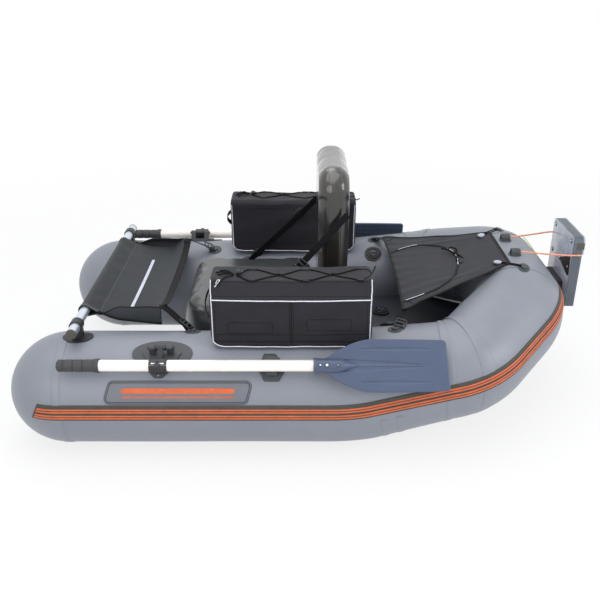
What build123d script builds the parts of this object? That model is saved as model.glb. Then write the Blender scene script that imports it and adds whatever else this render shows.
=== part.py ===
"""One-person inflatable float tube with two pontoons, rowing oars and a motor plate.

Millimetres. +X points to the raised closed end (the bow), -Y is starboard, +Z is up. The pontoons
lie on z = 0, and x = 0 is halfway between the pontoon tips and the motor plate's outer face.
"""
import math
import os

from build123d import *

os.makedirs("parts", exist_ok=True)

# Hull
boat_length = 1905.0      # pontoon tips to the outer face of the motor plate
beam = 1180.0             # over the two pontoons
pontoon_d = 360.0
bow_d = 316.0
tip_length = 188.0        # rounded end of a pontoon
shoulder_setback = 819.0  # motor plate back to where a pontoon starts to rise
shoulder_run, shoulder_rise = 388.0, 75.0
cheek_run, cheek_inset, cheek_rise = 208.0, 213.0, 92.0
knuckle_bend, cheek_bend, corner_bend = 600.0, 176.0, 172.0
seam_gap = 0.3            # what is glued to a tube or laid on it stands this far off the skin

# Rubbing strake
strake_w, strake_t = 52.0, 3.5
strake_lift = 17.0        # centre of the strake above the pontoon's axis
strake_setback = 107.0    # pontoon tip to the strake's lower stern corner
strake_slant = 25.0       # its upper corner stands this much further forward

# Deck, seat and backrest
deck_top, deck_t = 200.0, 6.0
seat_l, seat_h = 470.0, 189.0
seat_clear = 2.0          # seat to each pontoon
seat_corner, seat_edge = 75.0, 42.0
back_t, back_w, back_top = 100.0, 440.0, 850.0
back_corner, back_edge = 85.0, 28.0
back_setback = 813.0      # motor plate back to the backrest's rear face
back_gap = 1.0            # seat to backrest

# Crossbar and apron
bar_setback = 230.0       # pontoon tips to the crossbar
bar_rise, bar_r, bar_wall, bar_length = 42.0, 16.0, 2.0, 940.0
cap_flange, cap_spigot, cap_rim = 5.0, 18.0, 0.8
bracket_w, bracket_wall = 30.0, 4.5
apron_inset, apron_run, apron_t = 100.0, 250.0, 3.0
apron_drop = 30.0         # the apron's rear edge below the bar's axis
apron_wall_h = 46.0
sleeve_t = 3.0

# Side bags
bag_l, bag_w, bag_h, bag_front_h = 488.0, 155.0, 213.0, 161.0
bag_lid_run = 35.0
bag_offset = 333.0        # backrest's front face back to the bag's stern end
bag_inset = 90.0          # pontoon's axis in to the bag's inner face

# Bow cover, carried clear of the tubes by its corners
cover_rear_setback = 640.0
cover_rear_inset, cover_rise = 88.0, 57.0   # its rear corners from the pontoon's axis and crest
cover_front_setback, cover_front_y = 262.0, 148.0
cover_t = 4.0

# Motor plate
plate_t, plate_w, plate_z, plate_h = 33.0, 224.0, 322.0, 258.0
plate_corner, plate_cap_h, plate_cap_t = 22.0, 62.0, 5.0
bracket_y, bracket_z, bracket_h = 66.0, 330.0, 70.0
loop_y, loop_lean, loop_l, loop_h, loop_eye = 72.0, 2.0, 30.0, 18.0, 10.0
tie_r, tie_z = 3.0, 518.0

# Oars, along the tube's outer shoulder
oar_off, oar_height = 41.96, 47.484   # oar's axis off the pontoon's skin, and its angle above the outer side
oar_tilt = 35.0           # height of the bolt's axis above the horizontal, pointing outboard
collar_offset = 483.0     # collar's centre, aft of the seat's bow end
shaft_r, grip_r = 17.5, 18.5
grip_l, grip_reach = 127.0, 304.0
socket_reach, blade_reach = 464.0, 874.0
blade_w, blade_t = 160.0, 8.0
collar_l, collar_r, collar_split = 53.0, 21.6, 1.6
bolt_r, bolt_clear = 4.0, 0.3
slip_gap = 0.3            # clamped or sliding round pieces

# Rowlocks and oar clips
axle_up, axle_in = 57.0, 31.5   # rowlock axle from the oar's axis, up the tube and towards it
axle_r, barrel_r, barrel_l = 5.5, 8.5, 30.0
eye_w, eye_r, eye_spacing = 18.0, 9.0, 54.0
clip_offset = 338.5       # collar to clip
clip_l, clip_wall, clip_clear = 32.0, 8.0, 2.2
clip_floor, clip_height = -60.0, 48.0   # its root from the oar's axis, and the pad's angle
pad_t, patch_t = 3.0, 1.6
patch_l, patch_h, patch_slant, patch_corner = 430.0, 66.0, 8.5, 13.0
patch_offset, patch_height = 53.5, 25.2   # collar to the patch's middle, and its angle

tube_r, bow_r = pontoon_d / 2, bow_d / 2
track = beam / 2 - tube_r
oar_reach, oar_lean = tube_r + oar_off, math.radians(oar_height)
oar_y, oar_z = track + oar_reach * math.cos(oar_lean), tube_r + oar_reach * math.sin(oar_lean)
bar_z, bag_in, apron_w = pontoon_d + bar_rise, track - bag_inset, 2 * (track - apron_inset)
cover_rear_y, cover_rear_z = track - cover_rear_inset, pontoon_d + cover_rise
seat_w = 2 * (track - tube_r - seat_clear)
stern, bow_end = -boat_length / 2, boat_length / 2
shoulder_x = bow_end - shoulder_setback
knuckle = Vector(shoulder_x, -track, tube_r)
cheek = knuckle + Vector(shoulder_run, 0, shoulder_rise)
corner = cheek + Vector(cheek_run, cheek_inset, cheek_rise)
nose = Vector(corner.X, 0, corner.Z)
back_x = bow_end - back_setback
seat_bow = back_x - back_t - back_gap
bar_x = stern + bar_setback
apron_rear = bar_x + apron_run
mid = Plane.XZ


def both(solid):
    """The starboard piece and its mirror image on the port side."""
    return Compound(children=[*solid.solids(), *mirror(solid, about=mid).solids()])


def unit(vector):
    return vector * (1 / vector.length)


def bend_tangent(radius, before, after):
    return radius * math.tan(math.radians(before.get_angle(after)) / 2)


def bend(plane, after, radius):
    """Axis and angle of a bend from the plane's normal to the direction after, and the plane there."""
    before = plane.z_dir
    normal = unit(before.cross(after))
    centre = plane.origin + normal.cross(before) * radius
    angle = before.get_angle(after)
    spin = Axis((0, 0, 0), normal)
    origin = centre + (plane.origin - centre).rotate(spin, angle)
    return Axis(centre, normal), angle, Plane(origin, plane.x_dir.rotate(spin, angle), after)


shoulder_way, cheek_way, cross_way = unit(cheek - knuckle), unit(corner - cheek), Vector(0, 1, 0)
knuckle_cut = bend_tangent(knuckle_bend, Vector(1, 0, 0), shoulder_way)
cheek_cut = bend_tangent(cheek_bend, shoulder_way, cheek_way)
corner_cut = bend_tangent(corner_bend, cheek_way, cross_way)
knuckle_plane = Plane(knuckle - Vector(knuckle_cut, 0, 0), (0, -1, 0), (1, 0, 0))
knuckle_axis, knuckle_angle, shoulder_plane = bend(knuckle_plane, shoulder_way, knuckle_bend)
shoulder_l = (cheek - knuckle).length - knuckle_cut - cheek_cut
cheek_plane = shoulder_plane.offset(shoulder_l)
cheek_axis, cheek_angle, cheek_end = bend(cheek_plane, cheek_way, cheek_bend)
corner_plane = cheek_end.offset((corner - cheek).length - cheek_cut - corner_cut)
corner_axis, corner_angle, cross_plane = bend(corner_plane, cross_way, corner_bend)


def pontoon(grow=0.0):
    """Starboard pontoon as a solid of revolution, its skin moved out by grow."""
    shoulder = stern + tip_length
    end = knuckle_plane.origin.X
    arc = EllipticalCenterArc((shoulder, 0), tip_length + grow, tube_r + grow, 90, arc_size=90)
    outline = arc + Polyline((stern - grow, 0), (end, 0), (end, tube_r + grow), (shoulder, tube_r + grow))
    body = revolve(make_face(outline), Axis.X)
    return Pos(0, -track, tube_r) * body


def along_shoulder(section):
    """A section(radius) carried round the knuckle and up the shoulder, where it tapers to the bow tube."""
    turn = revolve(knuckle_plane * section(tube_r), knuckle_axis, knuckle_angle)
    taper = loft([shoulder_plane * section(tube_r), cheek_plane * section(bow_r)])
    return turn + taper


def along_bow(section):
    """A section(radius) carried round the starboard half of the bow and mirrored to the port half."""
    half = revolve(cheek_plane * section(bow_r), cheek_axis, cheek_angle)
    half += extrude(cheek_end * section(bow_r), (corner_plane.origin - cheek_end.origin).length)
    half += revolve(corner_plane * section(bow_r), corner_axis, corner_angle)
    half += extrude(cross_plane * section(bow_r), -cross_plane.origin.Y)
    return half + mirror(half, about=mid)


def shoulder_tube(grow=0.0):
    return along_shoulder(lambda radius: Circle(radius + grow))


def bow_tube(grow=0.0):
    return along_bow(lambda radius: Circle(radius + grow))


def strake_section(radius):
    """Ring sector on the outer side of a tube."""
    inner = radius + seam_gap
    lift = math.degrees(math.asin(strake_lift / radius))
    window = Rot(0, 0, -lift) * Pos(radius, 0) * Rectangle(radius, strake_w)
    return (Circle(inner + strake_t) - Circle(inner)) & window


def pontoon_strake():
    """The strake along a pontoon, with its slanted stern end bent round the tip."""
    skin = pontoon(seam_gap + strake_t) - pontoon(seam_gap)
    start, end = stern + strake_setback, knuckle_plane.origin.X
    low, high = tube_r + strake_lift - strake_w / 2, tube_r + strake_lift + strake_w / 2
    corners = [(start, low), (end, low), (end, high), (start + strake_slant, high)]
    side = make_face(Polyline(*corners, close=True))
    return skin & extrude(Plane.XZ.offset(track) * side, tube_r + 2 * strake_t)


def skin_pad(outline, base, outward, along, radius, thickness, under=0.0):
    """A pad of a flat outline, glued to a round tube whose axis runs through base, or on a pad under it."""
    face = Plane(base, along, outward)
    column = extrude(face.offset(radius * 0.7) * outline, radius * 0.5)
    rod = Plane(base, outward, along)
    inner = radius + seam_gap + under
    shell = extrude(rod * (Circle(inner + thickness) - Circle(inner)), 2 * radius, both=True)
    return column & shell


def pontoon_pad(outline, x, height, thickness, under=0.0):
    """A pad on the starboard pontoon, its middle at an angle of height above the outer side."""
    lean = math.radians(height)
    outward = Vector(0, -math.cos(lean), math.sin(lean))
    return skin_pad(outline, Vector(x, -track, tube_r), outward, Vector(1, 0, 0), tube_r, thickness, under)


def deck():
    """Fabric floor of the seat and of the storage bay, cut to the tubes that carry it."""
    length = corner.X - (seat_bow - seat_l)
    middle = (corner.X + seat_bow - seat_l) / 2
    sheet = Pos(middle, 0, deck_top - deck_t / 2) * Box(length, 2 * track, deck_t)
    for tube in (pontoon(seam_gap), shoulder_tube(seam_gap)):
        sheet = sheet - tube - mirror(tube, about=mid)
    sheet = sheet - bow_tube(seam_gap)
    return sheet.solids().sort_by(SortBy.VOLUME)[-1]


def seat_cushion():
    middle = Pos(seat_bow - seat_l / 2, 0, deck_top + seam_gap + seat_h / 2)
    cushion = Box(seat_l, seat_w, seat_h)
    cushion = fillet(cushion.edges().filter_by(Axis.Z), seat_corner)
    rims = cushion.faces().sort_by(Axis.Z)
    cushion = fillet(rims[-1].edges() + rims[0].edges(), seat_edge)
    return middle * cushion


def backrest():
    height = back_top - deck_top - seam_gap
    board = Pos(back_x - back_t / 2, 0, back_top - height / 2) * Box(back_t, back_w, height)
    ends = board.edges().filter_by(Axis.X).sort_by(Axis.Z)
    board = fillet(ends[-2:], back_corner)
    rims = board.faces().sort_by(Axis.X)
    return fillet(rims[0].edges() + rims[-1].edges(), back_edge)


def on_pontoon(x, height, off):
    """A point off the starboard pontoon's skin, at an angle of height above its outer side."""
    lean, reach = math.radians(height), tube_r + seam_gap + off
    return Vector(x, -track - math.cos(lean) * reach, tube_r + math.sin(lean) * reach)


def on_shoulder(x, height, off):
    """The same on the starboard shoulder, whose radius tapers, and the direction out of its skin."""
    share = (x - shoulder_plane.origin.X) / (cheek_plane.origin.X - shoulder_plane.origin.X)
    axis = shoulder_plane.origin + (cheek_plane.origin - shoulder_plane.origin) * share
    aside = unit(shoulder_way.cross(Vector(0, 0, 1)))
    up = aside.cross(shoulder_way)
    lean = math.radians(height)
    outward = aside * math.cos(lean) + up * math.sin(lean)
    return axis + outward * (tube_r + (bow_r - tube_r) * share + seam_gap + off), outward


def webbing(start, end, facing, width, thickness):
    """A taut flat strap between two points, its flat side turned to facing."""
    way = end - start
    face = Plane(start, way.cross(facing), way)
    return extrude(face * Rectangle(width, thickness), way.length)


def backrest_straps():
    """From the backrest's sides down and aft to the pontoons' inner shoulders."""
    top = Vector(back_x - back_t / 2, -back_w / 2 - 1.6, back_top - 165)
    foot = on_pontoon(back_x - back_t - 165, 128, 6)
    return both(webbing(top, foot, Vector(0, 1, 0), 25, 2))


def crossbar():
    ring = Circle(bar_r) - Circle(bar_r - bar_wall)
    return Pos(bar_x, 0, bar_z) * extrude(Plane.XZ * ring, bar_length / 2, both=True)


def crossbar_caps():
    plane = Plane((bar_x, -bar_length / 2, bar_z), z_dir=(0, -1, 0))
    head = extrude(plane * Circle(bar_r + cap_rim), cap_flange)
    head = chamfer(head.faces().sort_by(Axis.Y)[0].edges(), cap_flange / 2)
    spigot = extrude(plane * Circle(bar_r - bar_wall - slip_gap), -cap_spigot)
    return both(head + spigot)


def bar_bracket():
    """Clip that holds the crossbar over a pontoon, on an oval pad."""
    ring = Circle(bar_r + bracket_wall)
    clip = Pos(bar_x, -track, bar_z) * extrude(Plane.XZ * ring, bracket_w / 2, both=True)
    post_l = bar_z - pontoon_d
    foot = Pos(bar_x, -track, pontoon_d + post_l / 2 - 4) * Box(2 * bar_r, bracket_w, post_l + 8)
    pad = pontoon_pad(Ellipse(48, 34), bar_x, 90, pad_t)
    bore = Pos(bar_x, -track, bar_z) * extrude(Plane.XZ * Circle(bar_r + slip_gap), bracket_w, both=True)
    return clip + (foot - pontoon(seam_gap + pad_t / 2)) + pad - bore


def apron():
    """Fabric lap apron: a sleeve round the crossbar, a sloping panel and upright side walls."""
    inner = bar_r + slip_gap
    ring = Pos(bar_x, 0, bar_z) * extrude(Plane.XZ * (Circle(inner + sleeve_t)), apron_w / 2, both=True)
    rear = (apron_rear, bar_z - apron_drop)
    slope = [(bar_x, bar_z), rear, (rear[0], rear[1] - apron_t), (bar_x, bar_z - apron_t)]
    panel = extrude(Plane.XZ * make_face(Polyline(*slope, close=True)), apron_w / 2, both=True)
    wall_top = rear[1] + apron_wall_h
    side = [(bar_x + bar_r, bar_z), (bar_x + bar_r, wall_top), (rear[0], wall_top), rear]
    wall = extrude(Plane.XZ * make_face(Polyline(*side, close=True)), apron_t / 2, both=True)
    walls = [Pos(0, sign * (apron_w - apron_t) / 2, 0) * wall for sign in (1, -1)]
    hem_z = rear[1] + apron_wall_h / 2 - apron_t
    hem = Pos(rear[0] - apron_t / 2, 0, hem_z) * Box(apron_t, apron_w, apron_wall_h)
    bore = Pos(bar_x, 0, bar_z) * extrude(Plane.XZ * Circle(inner), apron_w, both=True)
    return ring + panel + walls[0] + walls[1] + hem - bore


def apron_straps():
    """From the apron's rear corners to small pads on the pontoons."""
    foot_x, foot_height = apron_rear + 105, 107
    start = Vector(apron_rear + 5.9, -apron_w / 2 + 12, bar_z - apron_drop + 6)
    end = on_pontoon(foot_x - 8, foot_height, patch_t + 3.5)
    pad = pontoon_pad(Circle(20), foot_x, foot_height, patch_t)
    strap = webbing(start, end, Vector(0, 0, 1), 20, 2)
    return Compound(children=[*both(strap).solids(), *both(pad).solids()])


def side_bag():
    """Starboard gear bag on the pontoon's crest, with a sloping lid."""
    outer = bag_in + bag_w
    base = pontoon_d + seam_gap
    outline = [
        (-outer, base), (-bag_in, base), (-bag_in, base + bag_h - 12), (-bag_in - 14, base + bag_h),
        (-outer + bag_lid_run, base + bag_h), (-outer, base + bag_front_h),
    ]
    start = back_x - back_t - bag_offset
    end_face = Plane((start, 0, 0), (0, 1, 0), (1, 0, 0)) * make_face(Polyline(*outline, close=True))
    bag = extrude(end_face, bag_l)
    bag = fillet(bag.edges().filter_by(Axis.Z), 14)
    return bag - shoulder_tube(seam_gap)


def bow_cover():
    """Taut fabric panel over the storage bay, lying on the bow tube at its front edge."""
    rear_x, front_x = bow_end - cover_rear_setback, bow_end - cover_front_setback
    rear_z = cover_rear_z - cover_t
    run, drop = nose.X - rear_x, nose.Z - rear_z
    slope = math.atan2(drop, run) + math.asin((bow_r + seam_gap) / math.hypot(run, drop))
    front_z = rear_z + math.tan(slope) * (front_x - rear_x)
    rear = Plane((rear_x, 0, rear_z + cover_t / 2), (0, 1, 0), (1, 0, 0))
    front = Plane((front_x, 0, front_z + cover_t / 2), (0, 1, 0), (1, 0, 0))
    return loft([rear * Rectangle(2 * cover_rear_y, cover_t), front * Rectangle(2 * cover_front_y, cover_t)])


def cover_straps():
    """Straps from the cover's rear corners to pads on the shoulders."""
    rear_x = bow_end - cover_rear_setback
    start = Vector(rear_x + 2, -cover_rear_y + 14, cover_rear_z - cover_t - 1.8)
    end, outward = on_shoulder(rear_x + 4, 88, patch_t + 2.1)
    column = extrude(Plane(end, shoulder_way, outward) * Circle(21), 30, both=True)
    pad = column & (shoulder_tube(seam_gap + patch_t) - shoulder_tube(seam_gap))
    strap = webbing(start, end, Vector(0, 0, 1), 22, 2.5)
    return Compound(children=[*both(strap).solids(), *both(pad).solids()])


def motor_plate():
    """Upright board for an outboard motor, thicker outboard along its top, where a motor clamps on."""
    base = Plane((bow_end - plate_t - plate_cap_t, 0, plate_z), (0, 1, 0), (1, 0, 0))
    board = extrude(base * Pos(0, plate_h / 2) * Rectangle(plate_w, plate_h), plate_t)
    tops = board.edges().filter_by(Axis.X).sort_by(Axis.Z)[-2:]
    board = fillet(tops, plate_corner)
    lip = Pos(0, plate_h - plate_cap_h / 2) * Rectangle(plate_w, plate_cap_h)
    cap = extrude(base.offset(plate_t) * lip, plate_cap_t)
    tops = cap.edges().filter_by(Axis.X).sort_by(Axis.Z)[-2:]
    return board + fillet(tops, plate_corner)


def motor_bracket():
    """Rubber block that carries the motor plate on the front of the bow tube."""
    inner = bow_end - plate_cap_t - plate_t - seam_gap
    length = inner - corner.X
    block = Pos(corner.X + length / 2, 0, bracket_z + bracket_h / 2) * Box(length, 2 * bracket_y, bracket_h)
    return block - bow_tube(seam_gap + strake_t + seam_gap)


def bow_loop(sign):
    """Rubber loop on the bow tube's crest that a tie runs through."""
    lean = math.radians(loop_lean)
    outward = Vector(math.sin(lean), 0, math.cos(lean))
    base = Vector(nose.X, sign * loop_y, nose.Z)
    pad = skin_pad(Circle(24), base, outward, Vector(0, 1, 0), bow_r, patch_t)
    face = Plane(base + outward * (bow_r + 2 * seam_gap), (0, 1, 0), outward)
    hoop = extrude(face * Rectangle(26, loop_l), loop_h)
    eye = Plane(base + outward * (bow_r + loop_eye), (0, 1, 0), outward.cross(Vector(0, 1, 0)))
    slot = extrude(eye * SlotOverall(17, 9), loop_l, both=True)
    return pad + (hoop - slot)


def plate_ties():
    """Taut elastic ties from the bow loops to the motor plate's side edges."""
    lean = math.radians(loop_lean)
    reach = bow_r + loop_eye
    ahead = loop_l / 2 + tie_r
    start = Vector(nose.X + math.sin(lean) * reach + math.cos(lean) * ahead, -loop_y,
                   nose.Z + math.cos(lean) * reach - math.sin(lean) * ahead)
    edge = Vector(bow_end - plate_t - plate_cap_t - tie_r, -plate_w / 2 - tie_r - seam_gap, tie_z)
    end = Vector(bow_end - plate_cap_t, edge.Y, tie_z)
    way = edge - start
    run = extrude(Plane(start, z_dir=way) * Circle(tie_r), way.length)
    wrap = extrude(Plane(edge, z_dir=(1, 0, 0)) * Circle(tie_r), end.X - edge.X)
    return both(run + wrap + Pos(edge) * Sphere(tie_r))


# The oar's own frame: x along the shaft to the blade, y up the tube, z outboard along the bolt
tilt = math.radians(oar_tilt)
collar_x = seat_bow - collar_offset
oar_plane = Plane(
    (collar_x, -oar_y, oar_z), (1, 0, 0), (0, -math.cos(tilt), math.sin(tilt))
)


def on_oar(shape):
    return oar_plane.location * shape


def shaft():
    """Aluminium loom from the grip into the blade's socket, drilled for the bolt."""
    start, end = grip_l - grip_reach, socket_reach + 60
    rod = extrude(Plane.YZ.offset(start) * Circle(shaft_r), end - start)
    return rod - Cylinder(bolt_r + bolt_clear, 3 * shaft_r)


def grip():
    """Rubber handle with finger ridges and a rounded end."""
    start, end = -grip_reach, grip_l - grip_reach
    grooves, groove_w = 3, 6.0
    pitch = (grip_l - 40) / grooves
    points = [(start, 0), (start, grip_r - 5), (start + 5, grip_r)]
    for groove in range(grooves):
        at = start + 18 + groove * pitch
        points += [(at, grip_r), (at + groove_w / 2, grip_r - 2.2), (at + groove_w, grip_r)]
    points += [(end - 16, grip_r), (end - 12, grip_r + 2.5), (end, grip_r + 2.5), (end, 0)]
    return revolve(make_face(Polyline(*points, close=True)), Axis.X)


def blade_outline():
    """Spoon outline: narrow at the socket, opening to a slanted, round-cornered tip."""
    half = blade_w / 2
    root, widest, tip = socket_reach + 32, socket_reach + 180, blade_reach
    upper = Spline([(root, 18), (root + 66, half * 0.74), (widest, half)], tangents=[(1, 0.7), (1, 0)])
    lower = Spline([(widest, -half), (root + 66, -half * 0.74), (root, -18)], tangents=[(-1, 0), (-1, 0.7)])
    sides = Polyline((widest, half), (tip - 11, half - 9), (tip, -half + 5), (widest, -half))
    face = make_face(upper + sides + lower + Line((root, -18), (root, 18)))
    tips = face.vertices().sort_by(Axis.X)[-2:]
    return fillet(tips, 12)


def blade():
    """Moulded blade: a spear-shaped hollow with a spine down its middle, and a lens groove on each side."""
    socket_r = shaft_r + slip_gap + 4
    socket_end, spine_at, spine_tip = socket_reach + 78, socket_reach + 138, blade_reach - 31
    half_hollow, lens_w, lens_at, web = 21, 12, 50, 2.6
    lens_start, lens_end = socket_reach + 125, blade_reach - 38
    body = extrude(blade_outline(), blade_t / 2, both=True)
    sides = [(socket_end - 5, half_hollow), (socket_end + 155, half_hollow * 0.7), (spine_tip, 0)]
    hollows = [make_face(Polyline(*sides, *[(x, -y) for x, y in sides[1::-1]], close=True))]
    middle = (lens_start + lens_end) / 2
    for sign in (1, -1):
        y = sign * lens_at
        arcs = ThreePointArc((lens_start, y), (middle, y + lens_w / 2), (lens_end, y))
        arcs += ThreePointArc((lens_end, y), (middle, y - lens_w / 2), (lens_start, y))
        hollows.append(make_face(arcs))
    for hollow in hollows:
        body -= extrude(hollow, blade_t, both=True) - extrude(hollow, web / 2, both=True)
    outline = [(socket_reach, 0), (socket_reach, socket_r + 1.2), (socket_reach + 9, socket_r + 1.2),
               (socket_reach + 9, socket_r), (socket_end, socket_r), (spine_at, 3), (spine_at, 0)]
    socket = revolve(make_face(Polyline(*outline, close=True)), Axis.X)
    spine = Pos((spine_at + spine_tip) / 2 - 15, 0, 0) * Box(spine_tip - spine_at, 3.2, blade_t - 1)
    bore = extrude(Plane.YZ.offset(socket_reach - 1) * Circle(shaft_r + slip_gap), 62)
    return body + socket + spine - bore


def collar():
    """Two clamped half shells round the shaft, drilled for the bolt."""
    tube = extrude(Plane.YZ * (Circle(collar_r) - Circle(shaft_r + slip_gap)), collar_l / 2, both=True)
    tube -= Box(2 * collar_l, collar_split, 4 * collar_r)
    return tube - Cylinder(bolt_r + bolt_clear, 4 * collar_r)


def rowlock_fork():
    """T piece: an axle in the rowlock's eyes, a link behind the shaft and the bolt through it."""
    link_t, link_gap = 5.0, 1.0
    axle = Pos(0, axle_up, -axle_in) * Rot(0, 90, 0) * Cylinder(axle_r, eye_spacing + eye_w + 10)
    barrel = Pos(0, axle_up, -axle_in) * Rot(0, 90, 0) * Cylinder(barrel_r, barrel_l)
    back = Pos(0, 0, -collar_r - link_gap - link_t / 2)
    link = back * (Pos(0, axle_up / 2, 0) * Box(14, axle_up, link_t) + Cylinder(11, link_t))
    bolt_l = 2 * collar_r + 2 * link_gap + link_t
    bolt = Pos(0, 0, -link_t / 2) * Cylinder(bolt_r, bolt_l)
    head = Pos(0, 0, collar_r + link_gap + 1.8) * Cylinder(7.5, 3.6)
    return axle + barrel + link + bolt + head


def rowlock_base():
    """Rubber base on the pontoon with two eyes for the rowlock's axle."""
    axle_at = oar_plane.origin + oar_plane.y_dir * axle_up - oar_plane.z_dir * axle_in
    reach = Vector(0, axle_at.Y + track, axle_at.Z - tube_r)
    height = math.degrees(math.atan2(reach.Z, -reach.Y))
    pad = pontoon_pad(Ellipse(93, 52), collar_x, height, pad_t)
    plate = pontoon_pad(RegularPolygon(60, 6) & Rectangle(140, 72), collar_x, height, 2 * pad_t, pad_t / 2)
    face = Plane(Vector(collar_x, -track, tube_r), (1, 0, 0), reach)
    eyes = None
    for sign in (1, -1):
        at = sign * eye_spacing / 2
        foot = tube_r + seam_gap + 2 * pad_t
        post = extrude(face.offset(foot) * Pos(at, 0) * Rectangle(eye_w, 2 * eye_r), reach.length - foot)
        knob = Pos(axle_at) * Pos(at, 0, 0) * Rot(0, 90, 0) * Cylinder(eye_r, eye_w)
        eyes = post + knob if eyes is None else eyes + post + knob
    bore = Pos(axle_at) * Rot(0, 90, 0) * Cylinder(axle_r + slip_gap, 2 * eye_spacing)
    return pad + plate + (eyes - bore)


def oar_clip():
    """Open clip on the pontoon: a seat behind the shaft with a lip above it, free on the lifting side."""
    gap = shaft_r + clip_clear
    to_axle = math.atan2(-axle_in, axle_up)
    lip = gap * math.sin(to_axle)
    low, high = -gap - clip_wall, gap + clip_wall
    corners = [(low, clip_floor), (high, clip_floor), (high, lip), (0, lip), (0, -gap), (low, -gap)]
    block = make_face(Polyline(*corners, close=True)) - Circle(gap)
    profile = Plane((clip_offset, 0, 0), (0, 1, 0), (1, 0, 0)) * block
    seat = on_oar(extrude(profile, clip_l / 2, both=True))
    pad = pontoon_pad(RegularPolygon(44, 6), collar_x + clip_offset, clip_height, pad_t)
    return (seat - pontoon(seam_gap + pad_t / 2)) + pad


def side_patch():
    """Blank glued panel on the pontoon's outer side, a round-cornered parallelogram."""
    half_l, half_h = patch_l / 2, patch_h / 2
    corners = [(-half_l - patch_slant, -half_h), (half_l - patch_slant, -half_h),
               (half_l + patch_slant, half_h), (-half_l + patch_slant, half_h)]
    face = make_face(Polyline(*corners, close=True))
    return pontoon_pad(fillet(face.vertices(), patch_corner), collar_x + patch_offset, patch_height, patch_t)


def valve(base, outward):
    """Round inflation valve: a flange and a screw cap."""
    face = Plane(base, z_dir=outward)
    flange = extrude(face * Circle(34), 3)
    cap = extrude(face.offset(3) * Circle(24), 7)
    return flange + fillet(cap.faces().sort_by(Axis(base, outward))[-1].edges(), 3)


parts = {
    "starboard_pontoon": pontoon(),
    "port_pontoon": mirror(pontoon(), about=mid),
    "starboard_shoulder": shoulder_tube(),
    "port_shoulder": mirror(shoulder_tube(), about=mid),
    "bow_tube": bow_tube(),
    "pontoon_strakes": both(pontoon_strake()),
    "shoulder_strakes": both(along_shoulder(strake_section)),
    "bow_strake": along_bow(strake_section),
    "deck": deck(),
    "seat_cushion": seat_cushion(),
    "backrest": backrest(),
    "backrest_straps": backrest_straps(),
    "crossbar": crossbar(),
    "crossbar_caps": crossbar_caps(),
    "crossbar_brackets": both(bar_bracket()),
    "apron": apron(),
    "apron_straps": apron_straps(),
    "starboard_bag": side_bag(),
    "port_bag": mirror(side_bag(), about=mid),
    "bow_cover": bow_cover(),
    "cover_straps": cover_straps(),
    "motor_plate": motor_plate(),
    "motor_bracket": motor_bracket(),
    "bow_loops": Compound(children=[bow_loop(-1), bow_loop(1)]),
    "plate_ties": plate_ties(),
    "rowlock_bases": both(rowlock_base()),
    "oar_clips": both(oar_clip()),
    "side_patches": both(side_patch()),
    "deck_valve": valve(Vector(back_x + 152, 100, deck_top + seam_gap), Vector(0, 0, 1)),
}

oar_pieces = {
    "oar_shaft": on_oar(shaft()),
    "oar_grip": on_oar(grip()),
    "oar_blade": on_oar(blade()),
    "oar_collar": on_oar(collar()),
    "rowlock_fork": on_oar(rowlock_fork()),
}
for name, piece in oar_pieces.items():
    parts["starboard_" + name] = piece
    parts["port_" + name] = mirror(piece, about=mid)

for name, part in parts.items():
    export_step(part, os.path.join("parts", name + ".step"))
    print(name, len(part.solids()), round(part.volume))
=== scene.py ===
import math
from math import pi

import bmesh
import bpy
import numpy as np
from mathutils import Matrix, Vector


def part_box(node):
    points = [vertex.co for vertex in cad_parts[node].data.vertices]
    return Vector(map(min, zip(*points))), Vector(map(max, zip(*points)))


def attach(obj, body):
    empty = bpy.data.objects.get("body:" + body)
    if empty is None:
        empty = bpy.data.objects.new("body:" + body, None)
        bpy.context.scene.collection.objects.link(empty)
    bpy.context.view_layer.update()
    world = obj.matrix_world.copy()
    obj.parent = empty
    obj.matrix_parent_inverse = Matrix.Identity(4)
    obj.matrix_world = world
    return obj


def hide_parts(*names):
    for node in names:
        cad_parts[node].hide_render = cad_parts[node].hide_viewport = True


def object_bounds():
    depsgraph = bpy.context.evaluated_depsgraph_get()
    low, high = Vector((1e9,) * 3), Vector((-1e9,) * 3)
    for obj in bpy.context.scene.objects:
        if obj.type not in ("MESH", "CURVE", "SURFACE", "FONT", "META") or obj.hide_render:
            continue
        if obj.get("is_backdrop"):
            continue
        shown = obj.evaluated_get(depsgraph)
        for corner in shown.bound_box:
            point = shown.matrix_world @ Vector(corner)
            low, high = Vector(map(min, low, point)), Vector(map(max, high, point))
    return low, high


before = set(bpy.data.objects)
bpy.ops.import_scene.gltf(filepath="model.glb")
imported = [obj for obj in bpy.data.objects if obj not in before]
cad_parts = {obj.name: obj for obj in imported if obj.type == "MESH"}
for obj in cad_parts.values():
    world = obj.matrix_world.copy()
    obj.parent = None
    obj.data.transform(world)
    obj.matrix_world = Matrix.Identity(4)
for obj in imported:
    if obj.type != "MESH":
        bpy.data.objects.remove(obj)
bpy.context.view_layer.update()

scene = bpy.context.scene


# Camera, at a standing person's height to starboard of the boat
cameraSettings = {"place": (-0.0205, -2.5055, 1.4915), "pitchDown": 25.55, "lens": 45.09}
cameraData = bpy.data.cameras.new("camera")
cameraData.lens = cameraSettings["lens"]
camera = bpy.data.objects.new("camera", cameraData)
camera.location = cameraSettings["place"]
camera.rotation_euler = (math.radians(90 - cameraSettings["pitchDown"]), 0, 0)
scene.collection.objects.link(camera)
scene.camera = camera
print("camera placed")


# Materials


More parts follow.
